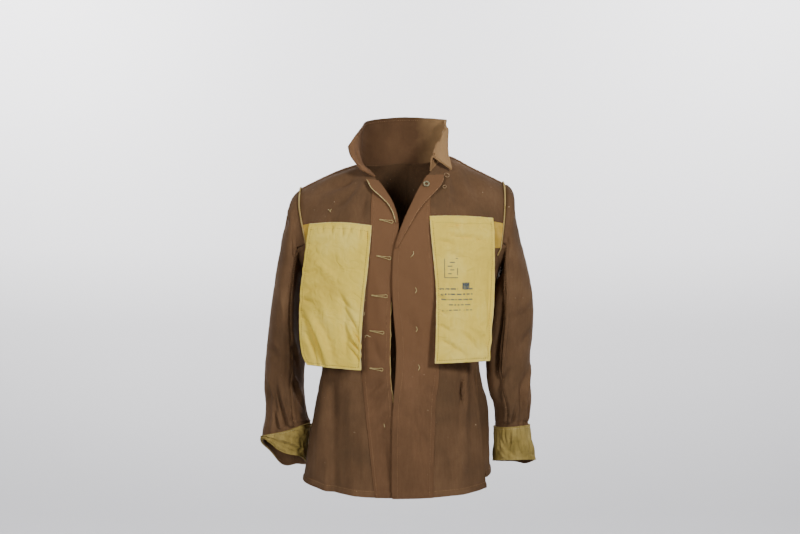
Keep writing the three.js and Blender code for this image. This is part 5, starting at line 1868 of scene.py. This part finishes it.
# Loose ends of thread: where each starts as x and z, its run across and up, and its curl.
LOOSE_THREADS = (
    (-68, -239, 6.0, 2.0, 2.0),
    (-67, -264, 4.5, 4.0, -1.5),
    (-63, -304, 8.0, 5.0, 3.0),
    (-127, -84, 4.5, -5.0, 0.8),
    (-121, -84, -2.5, -4.0, 0.6),
    (-30, -452, 1.0, -5.0, 1.0),
)
# Ends of thread where buttons were: x, z and how far each leans.
THREAD_ENDS = ((18.5, -160, -4), (21.9, -221, 0), (23.6, -287.6, 0), (27.0, -354, 0))
# The rings at the neck: piece, node, how far over the shoulder and how far from the free edge each
# lies, its radius, its wire, how far it stands off the cloth and its finish.
RINGS = (
    ("moulded_ring_button", "ring_button", 0.42, 9.0, 4.2, 1.5, LAY + COTTON + 5.7, RING_FINISH),
    ("thread_bound_eye", "collar_eye", 0.56, 31.0, 4.5, 0.9, LAY + 0.3, WIRE_FINISH),
    ("thread_bound_hook", "collar_hook", 0.42, 42.0, 2.9, 0.9, LAY + 0.3, WIRE_FINISH),
)


@dataclass
class Trimmings:
    """Buttonholes, thread ends and the small hard pieces at the neck."""

    right: FrontPanel
    left: FrontPanel

    def build(self) -> None:
        """Makes each of them in turn."""
        lift = LAY + COTTON + 0.5
        for n, hole in enumerate(BUTTONHOLES):
            self.build_buttonhole(n + 1, hole, lift)
        t = np.linspace(0, 1, 12)
        for n, (x, z, lean) in enumerate(THREAD_ENDS):
            across = x + 2.6 * np.sin(math.pi * t) + lean * t
            path, _ = Spot(self.left.cloth).find(across, z + 5 - 10 * t, lift + 0.5)
            WARDROBE.dress(tube_mesh(f"thread_end_{n + 1}", path, 0.55, 6), PALE_THREAD, "facing")
        for n, (x, z, across, up, curl) in enumerate(LOOSE_THREADS):
            bend = curl * np.sin(math.pi * t * 1.4)
            x, z = x + across * t - 0.5 * bend, z + up * t + bend
            path, _ = Spot(self.right.cloth).find(x, z, lift + 0.4)
            WARDROBE.dress(tube_mesh(f"loose_thread_{n + 1}", path, 0.35, 6), EDGE_FINISH, "facing")
        self.build_rings()
        self.build_fly_edge()

    def build_fly_edge(self) -> None:
        """The yellow cotton of the fly's lining, which shows along the right front edge."""
        level = climb_at(self.right.heights)[2]
        rows = (level > -432) & (level < -238)
        edge = self.right.cloth.moved(LAY + 0.4).points[rows, -1]
        slack = 0.5 * np.sin(edge[:, 2] * 0.12) + 0.3 * np.sin(edge[:, 2] * 0.31)
        edge[:, 0] += slack + 0.4
        WARDROBE.dress(tube_mesh("fly_lining_edge", edge, 0.8, 8), TAPE_FINISH, "bag_cotton")

    def build_buttonhole(self, number: int, hole: Buttonhole, lift: float) -> None:
        """Sews a cord of thread round the slit and its eye, and a bar across its end."""
        bar, eye = np.array(hole.bar), np.array(hole.eye)
        along = unit(eye - bar)
        aside = np.array([-along[1], along[0]])
        turn = np.linspace(-2.3, 2.3, 25)
        arc_u = np.linalg.norm(eye - bar) + EYE_RADIUS * (np.cos(turn) - 1)
        arc_v = EYE_RADIUS * np.sin(turn)
        side = np.linspace(0, 1, 15)[:-1]
        side_u, side_v = arc_u[-1] * side, 0.5 + (arc_v[-1] - 0.5) * side**1.6
        u = np.concatenate([side_u, arc_u, side_u[::-1]])
        v = np.concatenate([-side_v, arc_v, side_v[::-1]])
        flat = bar + u[:, None] * along + v[:, None] * aside
        path, _ = Spot(self.right.cloth).find(flat[:, 0], flat[:, 1], lift + 0.9)
        thick = 0.6 + 0.12 * np.sin(np.arange(len(path)) * 2.4)
        WARDROBE.dress(tube_mesh(f"buttonhole_{number}", path, thick, 8), BUTTONHOLE_THREAD, "facing")
        t = np.linspace(-1.3, 1.3, 7)
        flat = bar + t[:, None] * aside
        path, _ = Spot(self.right.cloth).find(flat[:, 0], flat[:, 1], lift + 0.9)
        WARDROBE.dress(tube_mesh(f"buttonhole_bar_{number}", path, 0.6, 8), BUTTONHOLE_THREAD, "facing")

    def build_rings(self) -> None:
        """The ring button on the lapel, and the hook and the eye by the neckline."""
        for name, node, over, way, radius, wire, standing, finish in RINGS:
            row = int(np.argmin(np.abs(self.left.heights - over)))
            place, out = self.left.from_free_edge(np.array([row]), np.array([[way]]))
            centre = place[0, 0] + out[0, 0] * (standing + wire)
            across = unit(np.cross(out[0, 0], [0.0, 0.0, 1.0]))
            up = np.cross(across, out[0, 0])
            turn = np.linspace(0, 2 * math.pi, 49)[:-1, None]
            path = centre + radius * (np.cos(turn) * across + np.sin(turn) * up)
            WARDROBE.dress(tube_mesh(name, path, wire, 12, True), finish, "hardware", node)


@dataclass
class Studio:
    """The camera, the pale sweep and the soft lights."""

    eye: tuple[float, float, float] = (-3.6, -2000.0, -119.0)
    lens: float = 50.0
    sensor: float = 36.0
    tilt: float = 1.907
    floor_level: float = -1250.0
    wall_y: float = 3000.0
    wall_top: float = 2600.0
    curve: float = 700.0
    reach: float = 4200.0

    def build(self) -> None:
        """Sets the camera first, then the sweep and the lights."""
        data = bpy.data.cameras.new("camera")
        data.lens, data.sensor_width = self.lens, self.sensor
        data.clip_end = 60.0
        camera = bpy.data.objects.new("camera", data)
        camera.location = Vector(self.eye) * MM
        camera.rotation_euler = (math.radians(90 - self.tilt), 0, 0)
        bpy.context.scene.collection.objects.link(camera)
        bpy.context.scene.camera = camera
        self.build_sweep()
        self.build_lights()

    def build_sweep(self) -> None:
        """A floor that curves up into a wall: one profile carried sideways, its paper painted darker
        towards the floor as painted shade.
        """
        bend = np.linspace(0, math.pi / 2, 24)
        y = self.wall_y + self.curve * (np.sin(bend) - 1)
        z = self.floor_level + self.curve * (1 - np.cos(bend))
        y = np.concatenate([[-self.reach], y, [self.wall_y]])
        z = np.concatenate([[self.floor_level], z, [self.wall_top]])
        x = np.array([-self.reach, self.reach])
        points = np.stack(np.broadcast_arrays(x[None, :], y[:, None], z[:, None]), axis=-1)
        sweep = put_mesh("studio_sweep", points.reshape(-1, 3), grid_quads(len(y), 2, False))
        shader = Shader("matt_paper_sweep")
        height = shader.add("SeparateXYZ", Vector=shader.add("TexCoord").outputs["Object"])
        # Painted shade: the paper grows darker towards the floor, for light that falls off low down.
        level = shader.add("MapRange", Value=height.outputs["Z"], From_Min=-1.25, From_Max=-0.2)
        painted_shade_tone = shader.ramp(level.outputs[0], [(0.0, "#A9A9AC"), (1.0, "#EDECEF")])
        paper = shader.add("BsdfPrincipled", Base_Color=painted_shade_tone, Roughness=0.95, Specular_IOR_Level=0.1)
        shader.add("OutputMaterial", Surface=paper.outputs[0])
        sweep.data.materials.append(shader.material)

    def build_lights(self) -> None:
        """A key from the front right, a fill from the front left, weak top and back lights, a wall wash."""
        for name, place, aim, size, power in (
            ("key", (1.15, -1.9, 0.6), (0.0, 0.0, -0.1), 0.45, 36.0),
            ("fill", (-0.9, -2.2, 0.35), (0.0, 0.0, -0.2), 0.7, 25.0),
            ("top", (0.0, -0.3, 1.9), (0.0, 0.1, -0.2), 1.4, 5.0),
            ("back", (0.3, 1.9, 1.3), (0.0, 0.0, -0.2), 0.9, 9.0),
            ("wall_left", (-1.9, 1.1, 1.4), (-1.0, 3.0, 0.6), 1.1, 180.0),
            ("wall_right", (1.9, 1.1, 1.4), (1.0, 3.0, 0.6), 1.1, 150.0),
        ):
            data = bpy.data.lights.new(name, "AREA")
            data.shape, data.size, data.energy = "DISK", size, power
            lamp = bpy.data.objects.new(name, data)
            lamp.location = place
            lamp.rotation_euler = (Vector(aim) - Vector(place)).to_track_quat("-Z", "Y").to_euler()
            bpy.context.scene.collection.objects.link(lamp)
        world = bpy.data.worlds.new("studio_air")
        world.use_nodes = True
        world.node_tree.nodes["Background"].inputs[0].default_value = linear("#E4E3E8")
        world.node_tree.nodes["Background"].inputs[1].default_value = 0.17
        bpy.context.scene.world = world


def main() -> None:
    """Builds the studio and then the jacket, piece by piece."""
    logging.basicConfig(level=logging.INFO, format="%(name)s %(message)s")
    Studio().build()
    right, left, back = FrontPanel(Side.RIGHT), FrontPanel(Side.LEFT), BackPanel()
    for part in (
        right,
        left,
        back,
        Sleeve(Side.RIGHT, right, back),
        Sleeve(Side.LEFT, left, back),
        Collar(right, left, back),
        PocketBag(Side.RIGHT, right),
        PocketBag(Side.LEFT, left),
        Trimmings(right, left),
    ):
        part.build()
        if isinstance(part, PocketBag) and part.side is Side.LEFT:
            InkMarks(part).build()


if __name__ == "__main__":
    main()
